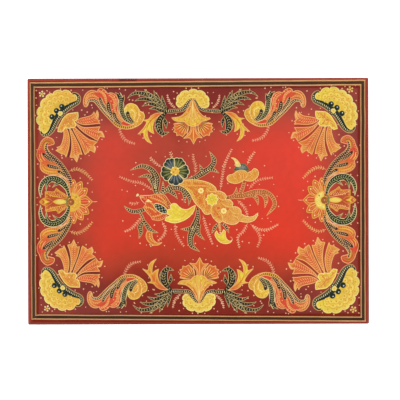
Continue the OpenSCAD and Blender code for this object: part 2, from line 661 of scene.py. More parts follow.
    def leaf(self, spine, widths, hatch="fishbone", body=None, rim=None, rim_width=None, level=0,
             tip_tint=None, gap=None, hatch_tint=None, edged=False, pigment="dark"):
        """A dark leaf or stem: a light rim, a dark body and light hatching along its spine.
        An edged leaf's rim is drawn over whatever lies under the leaf."""
        curve = smooth(spine)
        rim_width = self.sizes.outline if rim_width is None else rim_width
        full = spread(widths, curve)
        if edged:
            self.ribbon(pigment, curve, full, body or self.paint.leaf, level, end_tint=tip_tint)
            drawn = slice(max(1, len(curve) // 8), None)
            for way in (-1, 1):
                edge = (curve + sideways(curve) * full[:, None] / 2 * way)[drawn]
                self.ribbon("lines", edge, rim_width * spread((0.3, 1, 1, 1, 0.8), edge),
                            rim or self.paint.gilt, level + 2, THIN)
        else:
            self.ribbon("lines", curve, np.maximum(full + rim_width * 0.6, 1.0), rim or self.paint.gilt,
                        level)
            body_full = np.maximum(full - rim_width * 1.2, 0)
            self.ribbon(pigment, curve, body_full, body or self.paint.leaf, level + 1, end_tint=tip_tint)
        if hatch == "fishbone":
            self.fishbone(curve, full, gap, hatch_tint, reach=0.52, lean=1.0, level=level + 3, width=0.85)
        elif hatch == "short":
            self.fishbone(curve, full, gap, hatch_tint, reach=0.34, lean=1.2, level=level + 3, width=0.6)
        elif hatch == "ladder":
            self.ladder(curve, full, gap, hatch_tint, 0.6, level + 3, self.sizes.hatch)
        return curve, full

    def sprig(self, spine, tint, length=3.6, gap=None, width=0.95):
        """A feathery twig: a thin stem with short strokes on both sides, turned to its tip."""
        curve = smooth(spine)
        self.ribbon("lines", curve, np.full(len(curve), 0.5), tint, 1, THIN)
        share, _ = run_lengths(curve)
        sized = np.interp(share, [0, 0.5, 1], [0.8, 1.0, 0.6]) * length * 2
        self.fishbone(curve, sized, gap or self.sizes.hatch_gap, tint, 0.75, 0.9, 2, width, start=0.04,
                      end=1.0)

    def finish(self):
        """Turns each pigment's strokes into a piece."""
        for pigment, coat in self.coats.items():
            coat.build(f"{self.name}_{pigment}", pigment, "ornament_paint")


def interior(outline, grid):
    """Points of a triangular grid inside an outline, clear of its edge."""
    low, high = outline.min(0), outline.max(0)
    rows = []
    for j, y in enumerate(np.arange(low[1] + grid / 2, high[1], grid * 0.87)):
        xs = np.arange(low[0] + grid / 4 + (j % 2) * grid / 2, high[0], grid)
        rows.append(np.column_stack([xs, np.full(len(xs), y)]))
    if not rows:
        return np.empty((0, 2))
    spots = np.concatenate(rows)
    ends = np.roll(outline, -1, 0)
    x, y = spots[:, :1], spots[:, 1:]
    crosses = (outline[:, 1] > y) != (ends[:, 1] > y)
    rise = np.where(ends[:, 1] == outline[:, 1], 1e-9, ends[:, 1] - outline[:, 1])
    meets = outline[:, 0] + (y - outline[:, 1]) * (ends[:, 0] - outline[:, 0]) / rise
    within = (crosses & (x < meets)).sum(1) % 2 == 1
    spots = spots[within]
    if not len(spots):
        return spots
    return spots[edge_distance(spots, outline) > grid * 0.35]


def edge_distance(spots, outline):
    """Distance from each spot to the nearest part of a closed outline."""
    ends = np.roll(outline, -1, 0)
    run = ends - outline
    size = np.maximum((run ** 2).sum(1), 1e-9)
    offset = spots[:, None, :] - outline[None]
    along = np.clip((offset * run).sum(2) / size, 0, 1)
    nearest = outline[None] + along[..., None] * run
    return np.linalg.norm(spots[:, None, :] - nearest, axis=2).min(1)


def flower_head(m, x, y, radius, count, petal, heart, level):
    """A small round blossom of dabs about a middle."""
    for k in range(count):
        m.dot(*polar(x, y, radius * 0.62, 360 * k / count), radius * 0.42, petal, level)
    m.dot(x, y, radius * 0.4, heart, level + 1)


# ---- ground and border ---------------------------------------------------

# x, y, radius and strength of the smoky patches left in the lacquer
SMOKE = (
    (-20, 114, 60, 0.27), (5, -112, 56, 0.08), (-72, -100, 40, 0.24), (166, -10, 26, 0.24),
    (-168, 96, 40, 0.14), (14, 52, 66, 0.34), (-58, 44, 46, 0.30), (-6, -46, 74, 0.20), (62, -78, 38, 0.14),
    (192, 62, 32, 0.10), (-186, -92, 38, 0.14), (120, -126, 34, 0.25), (-132, -132, 30, 0.25),
    (-118, 122, 30, 0.22), (-150, 10, 30, 0.14),
)
DRIP = (-96, 12)  # middle and half length of the dark run of lacquer on the back rim


RIM_REACH = 6.5  # how far in from the edge the plain rim red goes
DULL_AT = 0.42  # glow at which the lacquer is the smoky red
LEAST_GLOW = 0.08  # the least glow before the smoky patches are taken off


def ease(share):
    share = min(max(share, 0.0), 1.0)
    return share * share * (3 - 2 * share)


def rise(inset, start, reach):
    """From 0 to 1 as the inset from a side goes from start to start + reach."""
    return ease((inset - start) / reach)


def hum(x, y, scale, seed):
    """Soft noise from -1 to 1 with features about scale millimetres across."""
    return noise.noise(Vector((x / scale, y / scale, seed)))


def rim_tint_with_painted_shade(x, y, u):
    """Colour of the lacquer outside the gold lines, with painted shade: darker at the front and on the right
    side, and darker on the bead towards its outer edge, where it turns down.
    """
    colours = ground_colours()
    side = 1.0
    # painted shade by side: darkest at the front, a little dark on the right; the left only varies at random
    if HALF_W + y < HALF_L - abs(x):
        side = 0.72 + 0.08 * hum(x, y, 60, 4.0)
    elif HALF_L - x < HALF_W - y:
        side = 0.9
    elif HALF_L + x < HALF_W - y:
        side = 0.98 + 0.16 * hum(x, y, 45, 5.0)
    if y > 0 and abs(x - DRIP[0]) < DRIP[1] and HALF_W - y < HALF_L - abs(x):
        side *= 0.55
    # painted shade: the bead darkens towards its outer edge, where it turns down
    side *= 0.72 + 0.28 * ease(u / (BEAD_R * 0.8))
    side *= 1 + 0.1 * hum(x, y, 9, 6.0)
    return tuple(c * side for c in colours.rim)


def ground_tint(x, y):
    """Colour of the red lacquer: bright in the middle, maroon and smoky towards the border."""
    u = inward(x, y)
    colours = ground_colours()
    if u < RIM_REACH:
        return rim_tint_with_painted_shade(x, y, u)
    back = rise(HALF_W - y, 8, 88)
    front = rise(HALF_W + y, 8, 121)
    left = 0.30 + 0.55 * rise(HALF_L + x, 54, 56) + 0.15 * rise(HALF_L + x, 150, 120)
    right = rise(HALF_L - x, -2, 100)
    glow = max(back * front * left * right, LEAST_GLOW)
    for px, py, radius, strength in SMOKE:
        glow -= strength * math.exp(-((x - px) ** 2 + (y - py) ** 2) / radius ** 2)
    glow += 0.07 * hum(x, y, 42, 1.0) + 0.06 * hum(x, y, 17, 2.0)
    glow = min(max(glow, 0.0), 1.0)
    if glow > DULL_AT:
        tint = blend(colours.dull, colours.bright, (glow - DULL_AT) / (1 - DULL_AT))
    else:
        tint = blend(colours.edge, colours.dull, glow / DULL_AT)
    fine = 1 + 0.05 * hum(x, y, 6, 3.0)
    warmth = 1 - 0.45 * ease(0.35 - y / HALF_W)
    return tint[0] * fine, tint[1] * fine * (0.5 + 0.5 * warmth), tint[2] * fine * warmth


def ground_stations(half):
    """Places of the lacquer's mesh lines along one axis: close together on the bead, wall and foot."""
    insets = list(np.arange(BEAD_R, WALL_TOP, 0.3)) + list(np.arange(WALL_TOP, FOOT - 1.2, 1.1))
    insets += list(np.linspace(FOOT - 1.0, FOOT + 1.0, 6))
    inner = half - FOOT - 1.0
    floor = np.linspace(-inner, inner, 2 * round(inner / 3.0) + 1)[1:-1]
    return [-(half - u) for u in insets] + list(floor) + [half - u for u in reversed(insets)]


def ground_edge(wide, deep):
    """Every point round the lacquer's grid, with the way that it faces; a corner faces several ways."""
    corner_steps = 6
    front = list(range(wide))
    right = [j * wide + wide - 1 for j in range(deep)]
    back = [(deep - 1) * wide + i for i in reversed(range(wide))]
    left = [j * wide for j in reversed(range(deep))]
    around = []
    for side, facing in ((front, 270), (right, 0), (back, 90), (left, 180)):
        around += [(spot, facing) for spot in side]
        around += [(side[-1], facing + 90 * step / corner_steps) for step in range(1, corner_steps)]
    return around


def lay_ground():
    """The lacquered face, from the floor up the wall, over the bead and round onto the steel."""
    xs, ys = ground_stations(HALF_L), ground_stations(HALF_W)
    wide, deep = len(xs), len(ys)
    coat = Coat()
    points = [(x, y, face_height(x, y)) for y in ys for x in xs]
    faces = []
    for j in range(deep - 1):
        for i in range(wide - 1):
            a = j * wide + i
            faces.append([a, a + 1, a + 1 + wide, a + wide])
    coat.add(points, faces, [ground_tint(x, y) for x, y, _ in points])

    around = ground_edge(wide, deep)
    ring = [corner for corner, _ in around]
    count = len(around)
    drop_steps, lap = 9, 14  # rows down the bead's outside, and the degrees that the last row laps under it
    for step in range(1, drop_steps + 2):
        lapped = step > drop_steps
        turn = math.radians(90 + lap if lapped else 90 * step / drop_steps)
        reach = CURL_R - 0.02 if lapped else BEAD_R
        points, tints = [], []
        for corner, facing in around:
            x, y, _ = coat.points[corner]
            way = math.radians(facing)
            out = reach * math.sin(turn)
            spot = (x + out * math.cos(way), y + out * math.sin(way), BEAD_Z + reach * math.cos(turn))
            points.append(spot)
            tints.append(rim_tint_with_painted_shade(spot[0], spot[1], BEAD_R - out))
        first = len(coat.points)
        coat.add(points, [], tints)
        fresh = [first + k for k in range(count)]
        for k in range(count):
            face = [ring[k], fresh[k], fresh[(k + 1) % count], ring[(k + 1) % count]]
            face = [p for n, p in enumerate(face) if p != face[n - 1]]
            coat.faces.append(face)
        ring = fresh
    return coat.build("red_ground", "ground", "red_lacquer")


def ruled_loop(inset, seed):
    """Points round the tray at an inset from the outer ruled line, with a hand's small wobble."""
    ruled = bpy.context.scene.tray_border
    count = 110  # points along a side

    def corner(sx, sy):
        side = (ruled.right if sx > 0 else ruled.left)[0 if sy > 0 else 1]
        end = (ruled.back if sy > 0 else ruled.front)[1 if sx > 0 else 0]
        wide = ruled.stretch[1 if sx > 0 else 3]
        deep = ruled.stretch[0 if sy > 0 else 2]
        return np.array([sx * (HALF_L - side - inset * wide), sy * (HALF_W - end - inset * deep)])

    corners = [corner(-1, -1), corner(1, -1), corner(1, 1), corner(-1, 1)]
    loop = []
    for k, start in enumerate(corners):
        end = corners[(k + 1) % 4]
        along = (end - start) / np.linalg.norm(end - start)
        for i in range(count):
            share = i / count
            spot = start + (end - start) * share
            sway = ruled.wobble * noise.noise(Vector((share * 9, k * 5.0, seed)))
            sway *= min(1.0, share * 12, (1 - share) * 12)
            loop.append(spot + np.array([-along[1], along[0]]) * sway)
    return loop


def painted_side_lighting(x, y, wall_lighting):
    """The painted lighting of the side that a place on the border belongs to: back, right, front, left. Each
    wall is painted lighter and darker as light falls on it.
    """
    gaps = (HALF_W - y, HALF_L - x, HALF_W + y, HALF_L + x)
    return wall_lighting[gaps.index(min(gaps))]


def rule_strip(name, pigment, slot, middle, width, tint, wall_lighting, level, seed, node):
    """One ruled strip of the border, and the CAD strip that it stands for."""
    coat = Coat()
    size = sizes()
    rows = []
    for offset, rise in ROUND:
        row = []
        for x, y in ruled_loop(middle + offset * width / 2, seed):
            lift = size.layer * level + size.body * rise
            row.append((x, y, face_height(x, y) + lift))
        rows.append(row)
    count = len(rows[0])
    points = [spot for row in rows for spot in row]
    tints = []
    for x, y, _ in points:
        # painted light and shade of the wall's side, with a random tone on top
        shade = painted_side_lighting(x, y, wall_lighting) * (1 + 0.14 * hum(x, y, 14, seed))
        tints.append(tuple(c * shade for c in tint))
    faces = []
    for r in range(len(rows) - 1):
        for k in range(count):
            n = (k + 1) % count
            faces.append([r * count + k, r * count + n, (r + 1) * count + n, (r + 1) * count + k])
    coat.add(points, faces, tints)
    piece = coat.build(name, pigment, slot)
    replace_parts(piece, node)
    return piece


# painted light and shade on each side of the border, each wall lighter and darker as light falls on it:
# back, right, front, left
BAND_SIDE_LIGHTING = (1.3, 1.15, 0.95, 1.5)
LINE_SIDE_LIGHTING = (1.05, 0.85, 0.95, 0.75)


class TrayBorder(bpy.types.PropertyGroup):
    """The hand-ruled border. Each side's pair is the line's distance from the rim's edge at its two ends."""

    back: FloatVectorProperty(name="Back", description="Left and right end", size=2, default=(5.6, 3.7))
    front: FloatVectorProperty(name="Front", description="Left and right end", size=2, default=(7.4, 3.8))
    left: FloatVectorProperty(name="Left", description="Back and front end", size=2, default=(3.9, 5.0))
    right: FloatVectorProperty(name="Right", description="Back and front end", size=2, default=(4.8, 5.1))
    line_width: length("Line width", "Width of a gold line", 1.3, 0.5, 4)
    line_gap: length("Line gap", "Distance between the gold lines", 4.5, 3, 9)
    stretch: FloatVectorProperty(name="Stretch",
                                 description="Share of that distance kept: back, right, front, left",
                                 size=4, default=(1.13, 0.97, 1.0, 0.93))
    wobble: length("Wobble", "How far the lines stray", 0.35, 0, 2)


# ---- the motifs ----------------------------------------------------------

def curl(m, x, y, radius, start, tint, level, width=0.8):
    """A small spiral of paint."""
    steps = 9
    path = []
    for k in range(steps + 1):
        share = k / steps
        angle = math.radians(start + 288 * share)
        r = radius * (1 - 0.65 * share)
        path.append((x + r * math.cos(angle), y + r * math.sin(angle)))
    m.line(path, width, tint, level)


def edge_ticks(m, path, gap, inset, size, tint, level, closed=True):
    """Short strokes standing just inside an outline; one that isn't closed has to run anticlockwise."""
    curve = smooth(anticlockwise(path) if closed else path, closed, step=1.0)
    side = sideways(curve, closed)
    travelled = 0.0
    for i in range(1, len(curve)):
        travelled += float(np.linalg.norm(curve[i] - curve[i - 1]))
        if travelled < gap:
            continue
        travelled = 0.0
        middle = curve[i] + side[i] * inset
        m.tick(middle - side[i] * size / 2, middle + side[i] * size / 2, 0.7, tint, level)


def dabs(m, path, tints, level, gap=3.2, size=2.0, width=0.75):
    """Short bowed touches of the brush scattered over a shape, in colours taken in turn."""
    spots = interior(smooth(path, closed=True), gap)
    for k, (x, y) in enumerate(spots):
        turn = m.hand.uniform(0, math.pi)
        x += m.hand.uniform(-0.3, 0.3) * gap
        y += m.hand.uniform(-0.3, 0.3) * gap
        reach = size * m.hand.uniform(0.35, 0.65)
        run = (reach * math.cos(turn), reach * math.sin(turn))
        m.tick((x - run[0], y - run[1]), (x + run[0], y + run[1]), width, tints[k % len(tints)], level,
               bow=0.25)


def ribbed_petal(m, outline, spine, widths, edge, heart, level, sweep):
    """A petal with a light rim and rows of short strokes up both sides of its middle."""
    m.fill("orange", outline, edge, heart, level, reach=5, rim=m.paint.peach, sweep=sweep)
    curve = smooth(spine)
    m.fishbone(curve, spread(widths, curve), 2.8, m.paint.peach, 0.82, 0.7, level + 2, 0.85, 0.04, 0.97)


def bead(m, x, y, radius, level):
    """A glossy black berry with a highlight."""
    m.dot(x, y, radius, m.paint.night, level, "dark", rise=3, sides=16)
    m.dot(x - radius * 0.22, y + radius * 0.22, radius * 0.34, m.paint.slate, level + 3, rise=3)
    m.dot(x - radius * 0.22, y + radius * 0.22, radius * 0.19, m.paint.white, level + 5, rise=3)


def looped_leaf(m, spine, width, level, rim=None):
    """A round-tipped dark leaf with a pale laddered middle; its spine runs from root to tip."""
    p = m.paint
    curve = smooth(spine)
    share, _ = run_lengths(curve)
    round_tip = np.sqrt(np.clip((1.0 - share) / 0.14, 0, 1))
    full = width * np.interp(share, [0, 0.35, 1], [0.5, 0.9, 1.0]) * round_tip
    m.ribbon("lines", curve, full + 1.7 * np.maximum(round_tip, 0.4), rim or p.gilt, level)
    m.ribbon("dark", curve, full, blend(p.leaf, p.maroon, 0.3), level + 1)
    core = curve[: max(3, round(len(curve) * 0.88))]
    m.ladder(core, np.full(len(core), 2.6), 2.5, blend(p.cream, p.gilt, 0.4), 0.8, level + 4, 0.9)


def tiers(m, lobes, root, seam, sweep, bulge, shares=(1.0, 0.79, 0.57)):
    """Rows of scallops, one over the other, that draw in to a root; seam closes them on their inner side."""
    p = m.paint
    light, deep = blend(p.pale, p.lemon, 0.6), blend(p.lemon, p.amber, 0.4)
    for row, share in enumerate(shares):
        ring = [(root[0] + (x - root[0]) * share, root[1] + (y - root[1]) * share) for x, y in lobes]
        if row == 1:
            ring = [tuple((np.array(a) + np.array(b)) / 2) for a, b in zip(ring, ring[1:])]
        shape = scallops(ring, bulge + 0.04 * row) + (seam if row == 0 else seam[1:-1])
        rim = p.pale if row == 0 else blend(p.amber, p.golden, 0.3)
        m.fill("yellow", shape, light, deep, 4 + row, reach=4.2, rim=rim, sweep=sweep)
        dabs(m, shape, (p.golden, p.lemon, p.amber), gap=2.8, size=1.5, level=7, width=0.5)
        for (ax, ay), (bx, by) in zip(ring, ring[1:]):
            x, y = root[0] + ((ax + bx) / 2 - root[0]) * 0.96, root[1] + ((ay + by) / 2 - root[1]) * 0.96
            away = math.degrees(math.atan2(y - root[1], x - root[0]))
            m.line(arc((x, y), 2.3, away + 110, away - 110, 5), 0.8, blend(p.pale, p.lemon, 0.5), 7 + row)
            m.dot(x, y, 0.8, blend(p.amber, p.orange, 0.3), 7 + row)


def corner_shell(m):
    """A small blossom, the fan of a shell, and the dark band of berries along it."""
    p = m.paint
    for k in range(5):
        x, y = polar(-21, 23.6, 3.2, 72 * k + 10)
        m.dot(x, y, 1.35, blend(p.cream, p.golden, 0.6) if m.on_right else p.cream, 2)
    m.dot(-21, 23.6, 1.5, p.golden, 3)
    lobes = (
        (26, 15.5), (18.3, 23.6), (6.6, 26.4), (-5.9, 22.9), (-15.5, 17.2), (-21.9, 6.2), (-25.1, -6.3),
        (-23.5, -18.6), (-16.5, -30.4),
    )
    seam = [(-11.2, -26.7), (-9.1, -20.5), (-6.8, -14.3), (-0.5, -3.6), (8.4, 4.4), (17.3, 10.3), (24.5, 13)]
    far = p.lemon if m.on_right else blend(p.golden, p.amber, 0.5)
    tiers(m, lobes, (2, 0), seam, ((-14, 2), (26, 26), far), 0.29)
    strip = [
        (20.6, 23.6), (24, 24), (27.5, 21.8), (29.3, 17.6), (27.6, 12.6), (22.5, 9.4), (17, 6.2),
        (10.5, 1.2), (4.3, -4.9), (-0.9, -12.1), (-4.6, -19.4), (-8.2, -26.4), (-12.6, -30.8),
        (-17.4, -32.4), (-21, -30.3), (-22.6, -27.1),
    ]
    curve = smooth(strip)
    full = spread((1.5, 2.4, 4, 5, 5.6, 6, 6, 6, 6, 6, 6, 6, 5.4, 4.4, 3, 1.2), curve)
    m.ribbon("lines", curve, full + 1.8, p.gilt, 1)
    swell = spread((0, 0, 0, 0.2, 0.8, 1.4, 2.0, 2.6, 2.8, 2.4, 1.6, 1.2, 0.8, 0.4, 0, 0), curve)
    inner_side = curve - sideways(curve) * (swell / 2)[:, None]
    m.ribbon("dark", inner_side, full + swell, p.night, 9)
    m.ladder(curve, full, 2.7, p.cream, 0.42, 12, 1.1, start=0.1, end=0.95, slant=0.5)
    m.ribbon("lines", (curve + sideways(curve) * (full * 0.36)[:, None])[3:-3], np.full(len(curve) - 6, 0.5),
             p.olive, 12, THIN)
    for x, y in ((6.2, 6.2), (-1, 0.6), (-7.2, -7.6)):
        m.dot(x, y, 3.9, p.olive, 10, sides=16, rise=0.5)
        bead(m, x, y, 3.6, 11)
    flower_head(m, 3.9, -3.2, 3.5, 6, blend(p.lemon, p.cream, 0.5), p.golden, level=13)
    for x, y in ((9.2, -2.6), (6.4, -6.8)):
        m.dot(x, y, 1.9, p.night, 13, "dark", rise=2)
        m.dot(x, y, 0.8, p.cream, 15)


def corner_petals(m):
    """Five ribbed petals, the curls at their tips and the dark gaps between them."""
    p = m.paint
    petals = (
        ([(25.3, -13.4), (31.5, -9.8), (38.6, -8), (44.8, -6.3), (48.4, -3.6), (49.8, -0.8, TIP),
          (51.2, -4.8, TIP),
          (52.6, -2.7), (54.1, 1.2, TIP), (55.9, -3.6), (55.5, -8.9), (54.3, -11.4, TIP), (57.6, -13, TIP),
          (56, -14.6), (58.2, -16.8, TIP), (52.8, -16.8), (47.5, -17.6), (38.6, -18.4), (31.5, -17.2)],
         [(26, -14.6), (38, -13.4), (48, -11), (54, -5)], (3, 8, 10, 4), ((47, -9), (56, 1))),
        ([(23.5, -15.2), (33.3, -21.4), (43.9, -22.2), (58.2, -21.2, TIP), (56.2, -24.6), (55.9, -27.6, TIP),
          (60, -27.6), (62.1, -30.6), (64, -35.6, TIP), (60.8, -34.9), (58.2, -34.2, TIP), (56, -37.4),
          (54.6, -40.2, TIP), (49.3, -36.8), (40.4, -31.4), (33.3, -26.2), (27.9, -20.8)],
         [(26, -18.5), (40, -26), (57, -32)], (3, 8, 14), ((55, -31), (64, -35))),
        ([(22.6, -21.4), (35, -32.6), (43.9, -38.9), (54.3, -41.4, TIP), (51.4, -44.2), (48.9, -46.6, TIP),
          (52, -50), (50.5, -56.4, TIP), (47.1, -54.2), (44.3, -53, TIP), (37.7, -59.1, TIP), (35.4, -55.2),
          (31.9, -46.3), (26.6, -35.6), (21.2, -24)],
         [(23, -24), (34, -39), (45, -52)], (3, 9, 15), ((40, -48), (50, -59))),
        ([(16.7, -23.2), (24, -35.6), (29.3, -46.3), (33.4, -58.7, TIP), (29.7, -58.2, TIP), (28.3, -62.3),
          (26.2, -69.1, TIP), (23.5, -65), (21.7, -62.3, TIP), (19, -62.8), (16.9, -62.3, TIP),
          (19.1, -53.4), (19.4, -40.9), (17.6, -30.3)],
         [(18, -24), (22.5, -42), (25.5, -63)], (3, 7, 12), ((24, -54), (25, -72))),
        ([(11.6, -22.8), (15.1, -30.3), (16.4, -40.9), (14.8, -51.6), (11.6, -62.5, TIP), (9.6, -58.7),
          (5.2, -58.2, TIP), (3.4, -56.6), (-2.3, -53.4, TIP), (0.9, -50.7), (-1.1, -49, TIP), (3.9, -47.2),
          (6.9, -40.9), (8.7, -32), (8.4, -25.8)],
         [(10.5, -25), (12, -42), (6, -55)], (3, 7, 11), ((8, -47), (-1, -59))),
    )
    for k, (outline, spine, widths, sweep) in enumerate(petals):
        share = k / 4
        edge = blend(p.orange, p.amber, share)
        heart = blend(p.vermilion, p.orange, 0.2 + 0.5 * share)
        ribbed_petal(m, anticlockwise(outline), spine, widths, edge, heart, level=2,
                     sweep=(*sweep, blend(p.amber, p.golden, 0.5)))
    curls = (
        [(55, -28.6), (59, -28.8), (61.6, -32), (62.6, -34.6)], [(49.4, -47.4), (50.6, -50.4), (49.8, -55)],
        [(53.6, -1), (54.6, -5), (52.6, -10.4)], [(26.4, -67), (25.4, -62), (22.4, -59)],
        [(-1, -53), (3, -52.4), (6, -48)],
    )
    for path in curls:
        m.line(path, 1.5, p.peach, level=5)
    gap_tint = blend(p.maroon, p.vermilion, 0.45) if m.on_right else p.maroon
    gaps = (
        ([(25.3, -15.4), (33.3, -19.4), (42.2, -20.2), (50, -19.6), (57.4, -18.9)], 2.8),
        ([(25.3, -21), (33.8, -29.2), (42.2, -34.9), (54, -40.8)], 2.4),
        ([(19.9, -24), (25.4, -35.6), (30.7, -46.3), (35.4, -58.4)], 2.4),
        ([(14.6, -24), (16.6, -31.2), (18, -40.9), (17, -52.5), (14.2, -62.5)], 2.8),
    )
    for gap, width in gaps:
        m.line(gap, width * 0.68, gap_tint, level=7, taper=(0.4, 0.8, 1, 1, 0.9), pigment="orange")


def corner_calyx(m):
    """The yellow calyx that holds the petals, and the dots round the flower."""
    p = m.paint
    calyx = [
        (14.6, -3.6), (20.8, -2.4), (27.9, -1.5, TIP), (28.3, -8), (26.5, -11.6, TIP), (23.4, -14.3),
        (25.3, -18.7), (23.5, -21.7, TIP), (19, -22.6), (14.6, -23.2, TIP), (11, -22.3), (8.4, -25.3),
        (5.7, -28.5, TIP), (0.4, -27.6, TIP), (2.1, -20.5), (4.8, -15.2), (7.5, -9.8), (11, -6.3),
    ]
    m.fill("yellow", calyx, p.lemon if m.on_right else p.golden, p.golden if m.on_right else p.amber, 6,
           reach=3.0, rim=p.pale, rim_width=0.8)
    dabs(m, calyx, (p.golden, p.amber, p.pale), gap=2.6, size=1.8, level=8)
    for path in ([(27.4, -2.4), (21, -6), (15.4, -12.4), (9, -19), (2, -26)],
                 [(26, -11), (20, -11), (15.4, -12.4)],
                 [(23, -21.4), (18, -17.6), (15.4, -12.4)], [(14.4, -22.4), (13.6, -17.6), (15.4, -12.4)],
                 [(15.6, -4.4), (16.4, -8), (15.4, -12.4)], [(3.6, -20), (9, -16), (15.4, -12.4)]):
        m.line(path, 1.0, blend(p.amber, p.orange, 0.6), 8, taper=(0.3, 1, 1, 0.3))
    for x, y, size in ((22, -6, 3.0), (14, -13, 2.8), (6, -22, 2.4), (18, -18, 2.2), (17, -8, 2.2)):
        curl(m, x, y, size, start=x * 31, tint=blend(p.orange, p.amber, 0.3), level=8)
    for x, y in ((15, -17), (10, -18), (21, -11), (24, -3.6)):
        m.dot(x, y, 0.7, p.pale, 8)
    m.dots((
        (46.7, 8.1), (33.1, 1.5), (37.4, -5.1), (-1, -35.7), (-6.8, -51.6), (60.4, -11.9), (66, -27.5),
        (60.6, -38.4), (54.4, -48.4), (42.9, -60.4), (31.8, -64.5), (19.6, -66), (6.2, -63.5),
        (-27.8, -52.4), (-25.9, -24.1), (-27.9, 8.1), (-28.4, 17.8), (-10.3, 25.8), (4.4, 30.2),
        (18.8, 28.5), (21.1, 1.8), (-0.6, -22.4), (-29.4, -6.2), (-14, 28), (-28, 28),
    ), level=3)


def corner_flower(m):
    """A shell with its berries, five petals and the calyx that holds them."""
    corner_shell(m)
    corner_petals(m)
    corner_calyx(m)


def red_scroll(m):
    """The scalloped red scroll with its light lines and dots."""
    p = m.paint
    scroll = [
        (30, -20.4), (24.1, -19.3), (17.8, -15.8), (13.1, -10.3), (9.2, -4.1), (7.2, 2.2), (6.7, 6.5, TIP),
        (7.9, 11.5), (7.1, 16.5), (5, 19.8), (1.5, 22.4), (-2.7, 23.2), (-6.3, 21.9, TIP), (-8.1, 24.8),
        (-11.6, 27.9), (-15.6, 29.2), (-19.2, 27.4), (-20.5, 24.1, TIP), (-23.6, 26), (-28.5, 26.4),
        (-33, 24.6), (-37, 20.1), (-38.8, 14.8), (-39.2, 9.4), (-37.8, 5.2), (-35.2, 4.1), (-33, 6.8),
        (-32.1, 10.3), (-28.5, 12.6), (-23.7, 12.4), (-19.8, 8.4), (-11.7, -2), (-3.2, -12.9), (5.2, -22.2),
        (13, -25.3), (23, -26.1), (32.4, -23),
    ]
    m.fill("orange", scroll, p.red, p.vermilion, 2, reach=3.0, rim=p.peach, rim_width=1.0,
           sweep=((-16, 12), (-36, 12), blend(p.orange, p.rust, 0.25)))
    for path, width in (
        ([(-4.5, 20.5), (0.5, 16.5), (3.4, 10), (3, 3), (5, -4), (9, -11), (14, -16.4)], 3.4),
        ([(-18.5, 25.5), (-13.5, 22.8), (-10, 18), (-8.6, 12.6), (-6, 6)], 3.2),
        ([(-36.4, 8), (-35.6, 13.5), (-31.5, 18.5), (-25, 19.5), (-19.6, 16)], 3.6),
    ):
        m.line(path, width, blend(p.orange, p.amber, 0.35), 4, taper=(0.4, 1, 1, 0.5), pigment="orange")
        curve = smooth(path)
        m.ladder(curve, np.full(len(curve), width), 2.6, p.peach, 0.9, 5, 0.9, slant=0.6)
    for path in (
        [(-19.8, 26.4), (-15, 25.4), (-9.6, 20.6), (-7.4, 14.2)],
        [(-5.4, 22.4), (1.2, 19.8), (5.4, 12), (5, 4)],
        [(7, 0.4), (8.6, -6.4), (13, -13), (20, -18.2)],
        [(-22, 24.6), (-28, 23.6), (-33.4, 20), (-36.4, 14)],
    ):
        m.line(path, 0.9, p.peach, 5)
    edge_ticks(m, [(-22, 25.6), (-27.2, 26.5), (-34.2, 23.8), (-38.2, 18), (-39, 11.9), (-38, 6.5)], 2.1,
               2.6, 2.6, p.golden, 5, closed=False)
    for x, y in ((3.2, 18.4), (5.6, 14.4), (-1.6, 12), (1.2, 7), (-12.6, 26.4), (0.6, 0.4), (-9.4, 24)):
        m.dot(x, y, 0.85, p.peach, 6)


def scroll_stem(m):
    """The dark laddered stem along the scroll, and its looped leaves."""
    p = m.paint
    stem = [
        (-34.8, 5.6), (-34.2, 9.4), (-31, 13), (-24.5, 13.2), (-19.8, 9.2), (-14.3, 2.6), (-8.8, -3.9),
        (-2.5, -10.6), (3, -16.6), (9, -21.4), (20.7, -24.2), (31.8, -20.6),
    ]
    curve, full = m.leaf(stem, (1.6, 3.2, 4.6, 5.4, 5.6, 5.6, 5.6, 5.6, 5.2, 4.6, 4, 2.5), hatch=None,
                         level=3, rim=p.peach, tip_tint=p.rust, rim_width=1.1)
    m.ladder(curve, full, 2.5, p.cream, 0.42, 6, 1.15, start=0.03, end=0.62)
    m.ladder(curve, full, 2.7, p.golden, 0.7, 6, 1.3, start=0.62, end=1.0)
    looped_leaf(m, [(-1.2, -8.4), (-6.5, -2.5), (-10.4, 3), (-13.5, 7.7), (-15.6, 12), (-16.9, 17.6)], 5.0,
                5)
    looped_leaf(m, [(4.4, -14), (2.2, -11.1), (-1, -6.4), (-3.7, -1.7), (-4.9, 3), (-5.4, 11)], 5.2, 7)
    looped_leaf(m, [(12, -20), (8, -16.6), (5.2, -13.2), (3.4, -9.6), (2.2, -3.4)], 4.8, 9)


